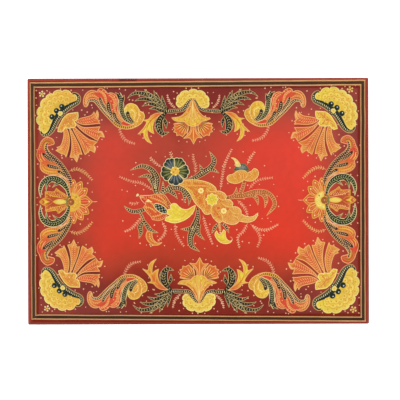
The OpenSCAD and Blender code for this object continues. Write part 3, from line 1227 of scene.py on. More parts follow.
def scroll_bud(m):
    """The round yellow bud in the end of the scroll."""
    p = m.paint
    bud = [
        (16.4, -0.5), (19.9, 6.5), (26.1, 8.6), (33.1, 5.6), (37.8, -2, TIP), (42.8, -5.1), (43.6, -11.3),
        (39.3, -18.3), (32.4, -22.6), (28.5, -19.5), (30, -16), (27.5, -13.5), (24.6, -11.3), (23, -4.4),
        (18.4, -3.6),
    ]
    m.fill("yellow", bud, p.golden, p.amber if m.front_left else blend(p.lemon, p.golden, 0.4), 4, reach=4.5,
           rim=blend(p.pale, p.golden, 0.4), sweep=((24, 2), (44, -14), blend(p.amber, p.orange, 0.2)))
    dabs(m, bud, (p.amber, p.pale, p.golden), level=6, gap=2.8)
    for path, width, tint in (
        ([(20, -1.5), (24.5, 2.8), (31, 1), (34.5, -5), (32, -12), (28, -15.5)], 0.9, p.amber),
        ([(22.5, -2), (26, -0.5), (30, -3), (31.2, -8.5), (28.8, -13)], 0.9, p.pale),
        ([(38, -3), (40, -7), (38.5, -13), (33.5, -18.5)], 0.8, p.amber),
        ([(36, 0.5), (36.5, -6), (35.5, -12), (31.5, -17.5)], 0.8, p.pale),
    ):
        m.line(path, width, tint, 6)
    for x, y in ((35, -9), (28, -7), (40.5, -10), (26, 5), (36, -16), (31, 4)):
        curl(m, x, y, 1.6, start=x * 17, tint=blend(p.amber, p.orange, 0.3), level=6)
    looped_leaf(m, [(29.4, -17.6), (25.6, -14.6), (22.6, -10.6), (21.2, -6.2), (21.6, -1.8)], 4.8, 6,
                rim=p.sage)


def scroll_tail(m):
    """The dark hatched leaf beside the scroll, with a sprig and dots."""
    p = m.paint
    strip = [(9.4, 23), (11.6, 17), (12.2, 9), (12.7, 1), (14.2, -6), (18.6, -13.2), (25.6, -18.2)]
    for tip in ([(3.9, 23.9), (7.5, 20.5), (10.5, 14.5)], [(16.3, 20.4), (15.2, 16), (13.2, 10)]):
        m.leaf(list(reversed(tip)), (4.5, 4, 0), hatch=None, level=3)
    curve, full = m.leaf(strip, (3.0, 5.8, 7.0, 7.0, 6.6, 5.4, 2.5), hatch=None, level=3, rim_width=1.0,
                         rim=p.cream)
    m.fishbone(curve, full, 2.9, blend(p.sage, p.gilt, 0.25), 0.6, 1.0, 6, 0.9)
    m.sprig([(9.8, -22.8), (11.4, -31.5), (18.4, -41.6), (31.6, -46.3)], p.rose)
    m.dots((
        (-27, 3), (-34, -3), (-10, 30), (10, 28.5), (-6.5, 29.5), (37, 19), (28, 13), (45, 9), (44.8, -24.2),
        (38, -34), (52.4, -8.6), (18, 27), (-40, 27),
    ), level=3)


def scroll_leaf(m):
    """A red scroll on a dark stem, with a round yellow bud in its end."""
    red_scroll(m)
    scroll_stem(m)
    scroll_bud(m)
    scroll_tail(m)


def trident_leaf(m):
    """The three-pointed yellow leaf at the root of the plume."""
    p = m.paint
    trident = [
        (11.2, 0.7, TIP), (2, 0.2), (-4.5, -3), (-9, -7.8), (-17, -9.3, TIP), (-12, -10.9), (-12.4, -15),
        (-16, -20.5), (-23.4, -28.4, TIP), (-16, -26.2), (-14.8, -32), (-11, -37.6), (-4, -41.4, TIP),
        (-8.6, -34.5), (-10.2, -27), (-10.2, -21.5, TIP), (-6, -25.4), (-1.2, -27.6, TIP), (-2.8, -19),
        (-0.4, -10), (5.4, -3.4),
    ]
    glow = blend(p.orange, p.amber, 0.2) if m.front_left else p.lemon
    vein = p.golden if m.front_left else blend(p.amber, p.orange, 0.5)
    m.fill("yellow", trident, p.golden, glow, 4, reach=2.8, rim=p.peach, rim_width=0.8,
           sweep=((-5, -14), (4, -2), p.orange))
    m.line([(7, -1), (-1, -5.5), (-8, -13), (-11, -20)], 1.4, p.orange, 6)
    for path in ([(-6, -10), (-5, -18), (-4, -24)], [(-11, -16), (-15, -22), (-19, -26)],
                 [(-11, -20), (-12.4, -30), (-9, -36)], [(-3, -6), (-5, -9), (-9, -10)]):
        m.line(path, 0.9, vein, 6)


def plume_fronds(m):
    """The dark fronds on their curled stem, with a sprig and dots."""
    p = m.paint
    stem = [(48.1, 16.2), (45.5, 10.5), (40.5, 6.2), (32.6, 3.9), (23.2, 3), (14, 3)]
    fronds = (
        ([(23, 3), (13.9, 6.3), (3.8, 15.9), (-7.8, 24.5), (-22.3, 28), (-31, 26), (-37.3, 20.6)],
         (3, 5.4, 7.6, 6.8, 5.4, 3.6, 0)),
        ([(5.8, 13.6), (-4, 18.2), (-14.9, 20), (-22, 19), (-27.4, 16.7)], (3.6, 5.0, 4.8, 3.6, 0)),
        ([(12.3, 6.6), (3, 11), (-4.6, 13), (-10.5, 12.8), (-17.4, 9.7)], (3.6, 5.4, 5, 3.4, 0)),
        ([(16, 2.2), (8, 4.2), (0.2, 7.2), (-7.8, 6.2)], (3.6, 5, 3.8, 0)),
        ([(0, 18), (-6, 24), (-14.6, 32.8)], (4, 4.5, 0)),
        ([(7.4, 14.2), (3.4, 21), (-1.6, 31.2)], (4.4, 5, 0)),
        ([(15.2, 6.6), (12, 13), (9.6, 24.4)], (4, 4.4, 0)),
        ([(15.5, 1.8), (9.8, -4.4), (5.6, -12.5), (6.2, -21.8), (11.2, -27.5), (19.4, -25.4)],
         (3, 7, 10, 10, 5.6, 0)),
        ([(10.5, -7), (14.4, -12), (15.4, -20.6)], (4, 4.6, 0)),
        ([(4.4, -14), (1.6, -19), (2.2, -24.4)], (4, 3.6, 0)),
    )
    pale = blend(blend(p.sage, p.cream, 0.3), p.gilt, 0.45)
    for spine, widths in fronds:
        hatch = "fishbone" if max(widths) > 7 else "short"
        m.leaf(spine, widths, level=1, gap=3.7, rim_width=0.62, hatch=hatch, hatch_tint=pale, edged=True,
               body=p.leaf, rim=pale)
    curve, full = m.leaf(stem, (3.2, 3.6, 4.2, 4.6, 5.5, 5), hatch=None, level=1, rim_width=0.8)
    m.ladder(curve, full, 2.8, p.cream, 0.5, 4, 1.0)
    m.sprig([(28.7, 6.6), (22.4, 12), (18.6, 18), (17, 26.2)], p.salmon, 2.6, 2.7)
    m.dots((
        (-14, -17.5), (-26, 31.5), (-12, 31.8), (2.4, 27.4), (25.6, 29.6), (33, -6), (19.6, -12.4),
        (9.8, -31.6), (-5.2, -31), (-16, -33.5), (-8, 0.6), (-24, 8), (-34.6, 18.6), (-16, 1.6), (20, 18.6),
        (-8.6, 12.4), (38.6, -3.4),
    ), level=3)


def plume(m):
    """A dark feathered leaf on a curled stem, and a three-pointed leaf."""
    trident_leaf(m)
    plume_fronds(m)


def palmette_crest(m):
    """The scalloped yellow crest."""
    p = m.paint
    lobes = (
        (18.6, 8), (20.7, 15.6), (16.8, 24.2), (6.2, 29.9), (-6, 29.1), (-17.6, 25.3), (-21.2, 16.6),
        (-21.5, 10.6),
    )
    seam = [(-19.4, 8.2), (-14.8, 9.6), (-10.1, 14.2), (-4.6, 19.7), (2.4, 19.7), (6.2, 14.4), (9.2, 9.6),
            (14, 7.2)]
    tiers(m, lobes, (-0.6, 6), seam, ((-20, 40), (-20, 41), p.golden), 0.27, (1, 0.8))


def palmette_fans(m):
    """On each side a dark arm, and a fan of petals under it."""
    p = m.paint
    for side in (-1, 1):
        arm = [(side * 2.0 - 0.8, 19.5), (side * 7.0 - 0.8, 14.8), (side * 10.8 - 0.6, 7.6),
               (side * 15, 4.6), (side * 21, 3.6)]
        curve, full = m.leaf(arm, (4.2, 5.4, 5.4, 4.6, 4.0), hatch=None, level=2, body=p.night)
        m.ladder(curve, full, 2.6, p.cream, 0.42, 5, 1.1)
        fan = flip_x(side, [
            (8.5, -12.4), (17, -12.2), (26.4, -14.2, TIP), (24.4, -17.6, TIP), (27.2, -19.6, TIP),
            (24.6, -21.8, TIP), (26.6, -25.2, TIP), (22.8, -26.2, TIP), (22.4, -30.4, TIP),
            (18.4, -29.4, TIP), (14.4, -31.8, TIP), (10.4, -27.4), (6.6, -22.4),
        ])
        m.fill("orange", fan, blend(p.orange, p.amber, 0.5), blend(p.orange, p.vermilion, 0.3), 3,
               reach=3, rim=p.peach)
        for k in range(7):
            turn = -8 - 13 * k
            tint, width = (p.golden, 1.1) if k % 2 else (p.peach, 1.5)
            start, end, middle = flip_x(side, [
                polar(7, -12, 5, turn), polar(7, -12, 17.5, turn), polar(7, -12, 13, turn + 6.3025),
            ])
            m.line([start, end], width, tint, 5, taper=(0.5, 1, 0.5))
            m.tick(start, middle, 0.9, p.maroon, 6, "orange")


def palmette_trefoil(m):
    """The three-pointed leaf below the bell."""
    p = m.paint
    trefoil = [
        (-2.6, -17.2), (-3.8, -23.5), (-7.5, -28.6), (-13, -34.2, TIP), (-6.6, -33.4), (-3.4, -34.8),
        (0.6, -41.8, TIP), (4.4, -34.6), (7.4, -33), (12.6, -33.6, TIP), (8, -28.2), (4.6, -23.5),
        (3.2, -17.2),
    ]
    m.fill("orange", trefoil, p.amber, p.orange, 3, reach=2.6, rim=p.peach)
    for path, width, tint in (
        ([(0.4, -19), (0.4, -29), (0.6, -38)], 1.5, p.golden),
        ([(-1, -20), (-3.8, -28), (-9, -32)], 1.0, p.peach),
        ([(1.8, -20), (4.8, -28), (9, -31.6)], 1.0, p.peach),
    ):
        m.line(path, width, tint, 5)


def palmette_bell(m):
    """The lined yellow bell, and the dots round the palmette."""
    p = m.paint
    bell = [
        (-0.6, 20.3, TIP), (-3.3, 15), (-5.6, 8.8), (-10.5, 1.6), (-17.5, -4.2), (-29.2, -6, TIP),
        (-24.9, -10), (-17.9, -11.2), (-12.4, -10.8), (-9.5, -13.8), (-5.5, -16.6), (-0.2, -18.2),
        (5.5, -16.6), (9.6, -13.6), (11.8, -10.4), (17.1, -10.2), (24, -7.3, TIP), (15.4, -4.6), (9.1, 0.8),
        (4.7, 8.8), (2, 15),
    ]
    m.fill("yellow", bell, blend(p.orange, p.amber, 0.7), blend(p.golden, p.amber, 0.3), 5, reach=3.0,
           rim=p.peach, sweep=((0, 2), (0, -20), blend(p.golden, p.lemon, 0.4)))
    for k in range(13):
        lean = (k - 6) / 6
        tint = (p.peach, p.golden, blend(p.golden, p.pale, 0.5), blend(p.orange, p.amber, 0.5))[k % 4]
        m.line([(-0.5 + 1.0 * lean, 15 - 5 * abs(lean)), (3.8 * lean - 0.3, 4 - 3 * abs(lean)),
                (11.5 * lean, -13 + 4.6 * abs(lean))], 0.8, tint, 7)
    dabs(m, bell, (p.golden, p.pale, p.orange, p.peach), level=7, gap=3.4)
    for side in (-1, 1):
        m.line([(side * 1.4 - 0.5, 14), (side * 4.0 - 0.5, 6), (side * 9.4, -1.6), (side * 16.6, -6.6)], 1.2,
               p.orange, 6, pigment="orange")
        curl(m, side * 6, -12.6, 2.0, start=90 * side, tint=p.amber, level=8)
    m.line([(-0.5, 17), (-0.3, 8), (-0.1, 0)], 1.3, p.pale, 8)
    m.dots([(0, -17), (-5, -15.2), (5, -15.2), (-11.5, -9.4), (11.5, -9)], tint=p.orange, level=7,
           radius=0.7)
    m.dots((
        (-2, 34.2), (-21.5, 27.6), (-9.4, 34), (7.4, 34.2), (20, 28), (-25.6, 20), (25.8, 13.8), (26, 1),
        (-23.2, -1.2), (-19.4, -37.8), (-8.4, -38.8), (9, -38.8), (16.4, -36.6), (-28, -22), (28.6, -22),
        (-28.8, 13.4),
    ), level=3)


def palmette(m):
    """A yellow crest over a bell of petals, with fans beside it and a trefoil below."""
    palmette_crest(m)
    palmette_fans(m)
    palmette_trefoil(m)
    palmette_bell(m)


LOTUS_Y = -0.9  # the middle line of the lotus and the half sunflower


def side_light(m):
    """Colour of the light touches, which differs between the two sides."""
    return m.paint.peach if m.on_right else m.paint.golden


def side_scroll(m, way):
    """A long red scroll with its dark stem and looped leaves."""
    p = m.paint
    light = side_light(m)
    scroll = flip_y(way, [
        (-24.2, 78.2), (-26.2, 84.2), (-34.3, 87), (-41.4, 81.5), (-44, 74.7), (-46.4, 69, TIP),
        (-47.2, 61.8), (-45, 56), (-42.2, 52.6, TIP), (-43.2, 45.4), (-38.6, 39.6), (-30.4, 36.4),
        (-21.1, 36, TIP), (-13.8, 33.8), (-7.6, 28), (-4.6, 22), (-2, 26), (-4, 32), (-12, 45), (-22, 57),
        (-31, 68), (-33.6, 74.4), (-29.2, 76.2),
    ])
    m.fill("orange", scroll, p.red, p.vermilion, 2, reach=3, rim=p.peach, rim_width=1.0,
           sweep=((-34, 64 * way), (-30, 42 * way), blend(p.orange, p.amber, 0.25)))
    lines = (
        ([(-31, 78.6), (-35.2, 79.6), (-37.2, 74.5), (-38, 69)], p.golden, 0.9),
        ([(-44, 64), (-43.6, 58.4), (-40, 54)], p.golden, 1.5),
        ([(-41.4, 66), (-40.4, 60.4), (-36, 54.4)], p.peach, 1.0),
        ([(-40.4, 47), (-37.2, 42.8), (-30, 40), (-21, 39.8)], p.golden, 1.7),
        ([(-37, 49), (-34, 45.2), (-27, 42.6), (-18, 42)], p.amber, 1.1),
        ([(-20, 38.4), (-14.5, 36), (-8.4, 31.4)], p.peach, 1.0),
    )
    for path, tint, width in lines:
        m.line(flip_y(way, path), width, tint, level=5)
    hook = flip_y(way, [(-26.4, 79), (-29.4, 80.4), (-34.4, 82), (-38.8, 78), (-41, 71)])
    m.line(hook, 5.0, blend(p.rust, p.amber, 0.55), 3, taper=(0.6, 1, 1, 1, 0.5), pigment="orange")
    m.line(hook, 1.2, blend(p.red, p.rust, 0.4), 5, taper=(0.4, 1, 1, 1, 0.4), pigment="orange")
    edge_ticks(m, anticlockwise(scroll)[:14], 2.3, 1.8, 2.2, light, 5, closed=False)
    edge_ticks(m, flip_y(way, [(-43, 50), (-38.6, 43.4), (-30.4, 40.4), (-20, 39.4)])[::way], 2.3, 3.4, 2.2,
               light, 5, closed=False)
    stem = flip_y(way, [
        (-33.4, 79), (-35.4, 72), (-31.6, 64.6), (-24.4, 58), (-14.9, 48.4), (-7.6, 38), (-2.4, 27.8),
        (-1, 18.5),
    ])
    curve, full = m.leaf(stem, (2.4, 4.4, 6.4, 7, 7, 6.6, 5.6, 4), hatch=None, level=3,
                         body=blend(p.leaf, p.maroon, 0.4))
    for shift in (-0.24, 0.24):
        row = curve + sideways(curve) * full[:, None] * shift
        m.ladder(row, full * 0.38, 2.9, blend(p.cream, p.gilt, 0.5), 0.8, 6, 1.0, start=0.03, slant=0.5)
    looped_leaf(m, flip_y(way, [(-26, 53.5), (-33, 59.2), (-38, 63.6), (-40.2, 65.6)]), 4.4, 3)
    looped_leaf(m, flip_y(way, [(-17, 44.6), (-25, 46.4), (-31, 48), (-34, 49.8)]), 4.4, 3)
    looped_leaf(m, flip_y(way, [(-7.2, 31.6), (-12, 36), (-16, 39), (-19.6, 41.2)]), 4.2, 3)


def side_crescent(m, way):
    """A dark hatched crescent with two spikes, a sprig and dots."""
    p = m.paint
    crescent = flip_y(way, [
        (-4, 7), (-6.4, 16), (-13, 25), (-22, 30), (-32, 30), (-39.6, 25), (-43, 16), (-42.8, 5),
    ])
    spikes = [flip_y(way, spine) for spine in (
        [(-14, 27.5), (-20.5, 24), (-26.8, 18.6)],
        [(-30, 29.5), (-34.4, 23), (-35.1, 13.8)],
    )]
    for spike in spikes:
        m.leaf(spike, (7.5, 4.4, 0), hatch=None, level=3, rim_width=0.8)
    curve, full = m.leaf(crescent, (4, 5.6, 8.5, 9.4, 8.6, 6.6, 4.5, 0), hatch=None, level=3, rim_width=1.0,
                         rim=p.cream)
    m.fishbone(curve, full, 3.2, p.sage, 0.55, 1.0, 6, 0.9)
    for spike in spikes:
        m.line(spike, 0.9, p.sage, level=6)
    m.line(flip_y(way, [(-3.2, 29.5), (-8, 30.6), (-12.5, 32.6), (-21, 34.4)]), 1.2, p.salmon, level=5)
    m.sprig(flip_y(way, [(-3.8, 40.6), (6.8, 43.7), (17.7, 38.6), (27.4, 28.9)]), p.peach)
    m.dots(flip_y(way, [
        (-46.5, 32.4), (-47, 4.8), (-30.4, 20.6), (-20.4, 24.2), (-40.6, 9.6), (11.2, 31.2), (21.4, 24.4),
        (27.4, 12.2), (-46.4, 50.6), (-24.4, 12.4), (-37.4, 33.8), (-1.6, 80), (-14, 62),
    ]), level=3)


def lotus(m):
    """The pointed orange lotus with its pale lens-shaped heart."""
    p = m.paint
    light = side_light(m)
    outline = [
        (-44.4, LOTUS_Y, TIP), (-39.6, 3.4), (-36.3, 4.4, TIP), (-36.4, 8.6), (-36.6, 13, TIP), (-30.4, 13),
        (-26.4, 12.4, TIP), (-23.4, 13.8), (-21.4, 17.6, TIP), (-16.6, 13.6), (-10.6, 10), (-5.8, 5),
        (-4.2, -0.6), (-6.6, -6.8), (-11.6, -11.4), (-18.4, -16.6, TIP), (-21.4, -12.6), (-26.4, -12.8, TIP),
        (-31.6, -13.8), (-36.2, -13.6, TIP), (-36, -9), (-36.6, -5.6, TIP), (-40.2, -4.6),
    ]
    m.fill("orange", outline, blend(p.amber, p.orange, 0.6), blend(p.vermilion, p.rust, 0.5), 4, reach=4,
           rim=p.golden, rim_width=0.8)
    diamond = [(-26.4, LOTUS_Y, TIP), (-21, 2.2), (-14, 2.8), (-8.6, 1), (-7.4, LOTUS_Y), (-8.6, -2.8),
               (-14, -4.4), (-21, -4)]
    m.fill("yellow", diamond, p.golden, blend(p.lemon, p.cream, 0.3), 6, reach=2)
    m.fill("yellow", [(-39.5, 3, TIP), (-30, LOTUS_Y, TIP), (-39, -4.4, TIP), (-37.4, -0.8)], p.golden,
           p.lemon, 6, reach=1.5)
    edge_ticks(m, outline, 2.5, 2.0, 2.0, light, 6)
    for way in (1, -1):
        for step in range(7):
            x = -29 + 3.1 * step
            m.tick(*flip_y(way, [(x, 6.4), (x - 1.8, 9.8)], LOTUS_Y), 0.9, light, 6)
            m.tick(*flip_y(way, [(x, 8.8), (x + 0.6, 11.4)], LOTUS_Y), 0.8, p.peach, 6)
        for path, width, tint in (
            ([(-36, 12.6), (-28, 8.4), (-18, 6.4), (-8, 3.8)], 0.9, light),
            ([(-20.5, 16), (-14.4, 11.4), (-7.6, 5.6)], 0.8, p.amber),
            ([(-40, 3), (-32, 4.4), (-27, 1.2)], 0.8, p.amber),
        ):
            m.line(flip_y(way, path, LOTUS_Y), width, tint, 6)


def half_sunflower(m):
    """Seven orange petals round a half disk and its brown hub."""
    p = m.paint
    rays = (
        (2.4, 29.3, 5.0), (13.0, 26.4, 5.4), (20.6, 17.0, 5.6), (27.8, LOTUS_Y, 8.0), (22.6, -17.0, 5.8),
        (14.4, -25.6, 5.4), (2.6, -30.6, 5.0),
    )
    hub_at = np.array([-1.0, LOTUS_Y])
    longest = max(width for _, _, width in rays)
    for x, y, width in rays:
        tip = np.array([x, y])
        run = tip - hub_at
        run /= np.linalg.norm(run)
        left = np.array([-run[1], run[0]])
        base = hub_at + run * 10.5
        middle = (base + tip) / 2 + run * 0.8
        petal = [
            base - left * width * 0.55, middle - left * width, tip, middle + left * width,
            base + left * width * 0.55,
        ]
        if width == longest:
            petal[1] = middle - left * width * 1.05 - run * 1.5
            petal[2] = (*tip, TIP)
            petal[3] = middle + left * width * 1.05 - run * 1.5
        m.fill("orange", petal, blend(p.orange, p.amber, 0.3), p.vermilion, 3, reach=3.0,
               rim=blend(p.golden, p.peach, 0.3), rim_width=0.8)
        m.line([base + run, middle, tip - run * 3], 1.1, p.amber, 5)
        for way in (-1, 1):
            side = left * way
            m.line([base + side * width * 0.3, middle + side * width * 0.5, tip - run * 4], 0.8, p.peach, 5)
        m.dot(*(tip - run * 4.2), 1.0, p.pale, 6)
    m.line([(27.8, LOTUS_Y), (31, -1), (34.4, -0.7)], 0.9, p.salmon, 4)
    ring = arc((-1, -1.3), 12.6, 86, -98, 16) + arc((-1.6, -1.3), 5.2, -95, 85, 12)
    ring = [(x, y, TIP) if k in (0, 16) else (x, y) for k, (x, y) in enumerate(ring)]
    disk = blend(p.lemon, p.pale, 0.5) if m.on_right else blend(p.golden, p.amber, 0.4)
    m.fill("yellow", ring, p.golden, disk, 6, reach=1.5, rim=p.golden, rim_width=0.8)
    dabs(m, ring, (p.amber, p.pale), gap=2.8, size=1.5, level=8, width=0.6)
    hub = arc((-2, -1.3), 5.4, 88, -88, 12) + [(-5.4, -5), (-6.2, -1.3), (-5.4, 2.6)]
    m.fill("orange", hub, blend(p.maroon, p.amber, 0.25), blend(p.rust, p.amber, 0.2), 5)
    m.line([(-3.2, 8), (-6, 4.6), (-7, -0.6), (-6.4, -6), (-3.6, -10)], 2.2, p.olive, 7)
    m.dots([(-1.8, -0.9), (-3.4, 3.8), (-3.4, -5.6)], tint=p.rose, level=8, radius=0.9)
    m.dot(5.8, 5.4, 1.0, p.olive, 10)


def side_spray(m):
    """Two long scrolls, a pair of dark crescents, a lotus and half a sunflower."""
    for way in (1, -1):
        side_scroll(m, way)
        side_crescent(m, way)
    lotus(m)
    half_sunflower(m)


def slate_flower(m):
    """A grey and green flower of five scalloped petals round a golden middle."""
    p = m.paint
    x, y = -30.8, 40.4
    petals = ((275, p.slate, 40), (194, p.olive, 39), (125, p.slate, 32), (62, p.olive, 32),
              (-4, p.olive, 36))
    for k, (angle, heart, half) in enumerate(petals):
        level = 9 + 3 * k
        valleys = ((15.4, -1), (17.6, -0.36), (17.6, 0.36), (15.4, 1))
        edge = [polar(x, y, radius, angle + turn * half) for radius, turn in valleys]
        outline = [polar(x, y, 4, angle - half), polar(x, y, 10.5, angle - half)]
        outline += scallops(edge, 0.32) + [polar(x, y, 10.5, angle + half), polar(x, y, 4, angle + half)]
        m.fill("dark", outline, p.night, blend(p.night, heart, 0.2), level, reach=3, rim=p.cream)
        for lean, size in ((-0.74, 0.9), (-0.25, 1.02), (0.25, 1.02), (0.74, 0.9)):
            end = polar(x, y, 16.4 * size, angle + lean * half)
            m.tick(polar(x, y, 6.5, angle + lean * half), end, 2.3, heart, level + 2, "dark")
            m.tick(polar(x, y, 9.5, angle + lean * half), end, 0.9, blend(heart, p.cream, 0.55), level + 2)
    m.dot(x, y, 6.0, p.golden, 26, "yellow", rise=3, sides=20)
    for k in range(9):
        m.dot(*polar(x, y, 5.2, 40 * k), 1.4, p.pale if k % 2 else p.golden, 27)
    for k in range(5):
        m.dot(*polar(x, y, 2.4, 72 * k), 1.1, p.orange if k % 2 else p.peach, 29)


def dark_leaves(m):
    """The dark hatched leaves and stems behind the bouquet."""
    p = m.paint
    stem = p.stem
    leaves = (
        ([(-53, 4), (-57, 16), (-56, 30), (-63, 42), (-76, 47.4), (-92, 41.6)], (5, 8.5, 9.5, 7, 5, 0)),
        ([(-57, 15), (-60, 27), (-68, 34), (-81, 32.4)], (5, 7, 5, 0)),
        ([(-56, 8), (-58.6, 20), (-69, 30.6)], (4, 6, 0)),
        ([(-54, 6), (-44, 14), (-33, 25)], (4, 4.4, 3.4)),
        ([(-52, 8), (-47.6, 15), (-47.2, 27)], (4, 4.6, 0)),
        ([(-50, 8), (-41, 14.6), (-29, 17.6), (-18, 13.4), (-11.4, 4), (-12.6, -6.6)],
         (4, 5.2, 6.4, 6.4, 5.4, 0)),
        ([(-41, 14), (-33, 10), (-27.4, 2.4)], (4, 5.4, 0)),
        ([(-20, 12.6), (-17.6, 5), (-18.4, -2.4)], (4, 4.4, 0)),
        ([(-14, 28), (-4, 31.4), (6, 37.4), (16, 44), (22.4, 54), (16, 67.4)], (4, 6.5, 8.5, 7, 6.4, 0)),
        ([(5, 36), (5.6, 42), (2.4, 49.6)], (4, 4.4, 0)),
        ([(12, 40), (20, 42.2), (29.4, 37.4)], (4, 5.2, 0)),
        ([(0, -10), (-0.6, -24), (-5.6, -38), (-10, -50), (-8.4, -61), (2.8, -69.4)],
         (3, 7.4, 10.4, 8.4, 6.4, 0)),
        ([(-4, -36), (-13, -38.4), (-23.6, -38.6)], (6, 5.4, 0)),
        ([(0.6, -32), (0.6, -44), (9.4, -53.6)], (7, 5.6, 0)),
        ([(-67, -9), (-78, -13.4), (-88, -14.4), (-95, -11.4), (-100.4, -6.6)], (4, 5.4, 5.6, 5, 0)),
        ([(-80, -13.4), (-76.6, -19.4), (-73.2, -27)], (3, 3.4, 3)),
        ([(-73.4, -27), (-78.4, -35), (-77.6, -43), (-80.4, -51.4)], (3, 6.8, 5.6, 0)),
        ([(-73, -27), (-68.6, -34.6), (-63.4, -40.4), (-53.6, -43.4)], (3, 6, 5, 0)),
        ([(27.6, -31), (22.6, -37.4), (18.8, -44.8)], (2.6, 4.8, 0)),
        ([(33, -31), (38.4, -35.6), (42.2, -43.8)], (2.6, 4.8, 0)),
    )
    for spine, widths in leaves:
        m.leaf(spine, widths, level=0, gap=3.0, hatch_tint=p.cream, body=blend(stem, p.rust, 0.12))
    m.leaf([(28.4, -28), (29.4, -34), (30.8, -41.4)], (3.2, 3.4, 2.4), hatch="ladder", level=1,
           body=p.orange, hatch_tint=p.pale, gap=1.9, rim_width=0.6, pigment="orange")
    branch = (
        ([(38.6, 3.4), (50, 5.6), (62, 6.6), (78, 12), (92, 11.6), (101.6, 4.6), (104.4, -6.6),
          (93.6, -20.6)],
         (4.6, 6, 6.8, 5.8, 5.6, 5.2, 4.6, 0)),
        ([(66, 7), (75.4, 7.4), (80.4, 2), (82, -6.4)], (5, 5.4, 5, 0)),
        ([(78, 12), (88.4, 8.6), (93, 1), (91.2, -9.8)], (5, 5.6, 5.4, 0)),
        ([(48, 6), (52, 11.4), (52.6, 18.4)], (4, 4, 0)),
        ([(56.4, 7), (60.6, 15.6), (63.6, 26)], (5, 4.6, 4.4)),
    )
    for spine, widths in branch:
        m.leaf(spine, widths, level=1, gap=3.0, body=blend(p.rust, p.orange, 0.25),
               rim=blend(p.peach, p.gilt, 0.4), hatch_tint=p.peach, rim_width=0.8, pigment="orange")


def fruit_body(m):
    """The long orange body of lobes that runs out to a horn, with its yellow blossoms."""
    p = m.paint
    body = [
        (-32.4, 24.4, TIP), (-23, 27.6), (-13, 28.6), (-2, 28.4), (8, 26.6), (16.6, 23.6), (23.6, 18.6),
        (25.6, 13, TIP), (31, 12.8), (37.4, 9), (38.9, 4.4), (37, 1.2, TIP), (43.6, 1), (47.8, -3.6),
        (46.4, -8.6, TIP), (53, -8.6), (58.4, -12.6), (59, -18, TIP), (64, -20.6), (71, -22.4),
        (77.6, -20.4), (81.9, -16.6, TIP), (80, -23), (74.4, -28), (66, -29.4), (56.4, -27.8, TIP),
        (52.4, -31.4), (46, -32.4), (38.4, -30.4), (33.6, -27.4, TIP), (31, -29.4), (26.4, -28.6),
        (20.6, -22.4), (18.2, -16.6, TIP), (14.6, -18.4), (9.6, -17.8), (6.6, -14), (4, -10.4), (-1, -6),
        (-5.8, 0.6), (-10, 9.4), (-18, 18), (-26, 22),
    ]
    m.fill("orange", body, blend(p.golden, p.orange, 0.4), blend(p.amber, p.orange, 0.5), 5, reach=4,
           rim=p.pale, rim_width=0.8, sweep=((10, 4), (56, -24), blend(p.amber, p.peach, 0.3)))
    dabs(m, body, (p.peach, p.golden, p.orange, p.amber), gap=2.6, size=1.7, level=8)
    edge_ticks(m, body, 2.4, 2.3, 2.6, blend(p.peach, p.pale, 0.4), 8)
    contours = (
        ([(-26, 23), (-12, 21), (0, 20.4), (12, 20), (20, 15)], p.peach, 1.0),
        ([(25.6, 13), (17, 12.4), (12, 17)], p.pale, 0.9),
        ([(37, 1.2), (30, 2.4), (26.6, 7.4)], p.pale, 0.9),
        ([(46.4, -8.6), (37.4, -7), (31.4, -2)], p.pale, 0.9),
        ([(59, -18), (50, -17.4), (42.6, -11.4)], p.pale, 0.9),
        ([(18.2, -16.6), (18.6, -9), (23.6, -3.6)], p.pale, 0.9),
        ([(33.6, -27.4), (33.6, -21.4), (29.4, -15)], p.pale, 0.9),
        ([(56.4, -27.8), (53, -22.4), (46.4, -20.4)], p.pale, 0.9),
        ([(8, -14), (10, -8.4), (8.4, 0), (9.4, 8)], p.peach, 0.9),
        ([(-20, 18.6), (-11, 15), (-6, 8.4), (-2, -2)], p.golden, 1.6),
        ([(62, -24), (69.6, -25), (77, -22.4)], p.pale, 1.0),
    )
    for path, tint, width in contours:
        m.line(path, 3.0, blend(p.orange, p.amber, 0.1), 6, pigment="orange")
        m.line(path, width, blend(tint, p.golden, 0.4), level=8)
        curve = smooth(path)
        m.ladder(curve, np.full(len(curve), 3.6), 2.3, p.golden, 0.9, 8, 0.7, slant=0.4)
    for path in ([(-14, 20), (-8, 13), (-3, 4)], [(26, 6), (32, -3), (38, -12)],
                 [(22, -12), (27, -19), (30, -25)],
                 [(-4, 23), (6, 23), (14, 21)], [(0, 8), (4, 0), (10, -8)]):
        m.line(path, 2.6, p.orange, level=6, pigment="orange")
    for x, y in (
        (-8, 24), (-2, 15), (-7, 8), (12, 12), (2, 4), (30, -6), (26, -14), (40, -18), (44, -26), (50, -22),
        (62, -26), (31, 9), (41, -4), (52, -13), (13, -13), (24, -24), (8, -3), (16, 16), (-16, 23),
        (34, -22),
    ):
        curl(m, x, y, 2.0, start=x * 23, tint=p.golden, level=8, width=0.7)
    for x, y in ((-3, 10), (9, 17), (12, 7), (28, -10), (29, 2), (40, -11), (22, -19), (5, 20)):
        m.dot(x, y, 2.2, blend(p.orange, p.vermilion, 0.4), 7, "orange", rise=1)


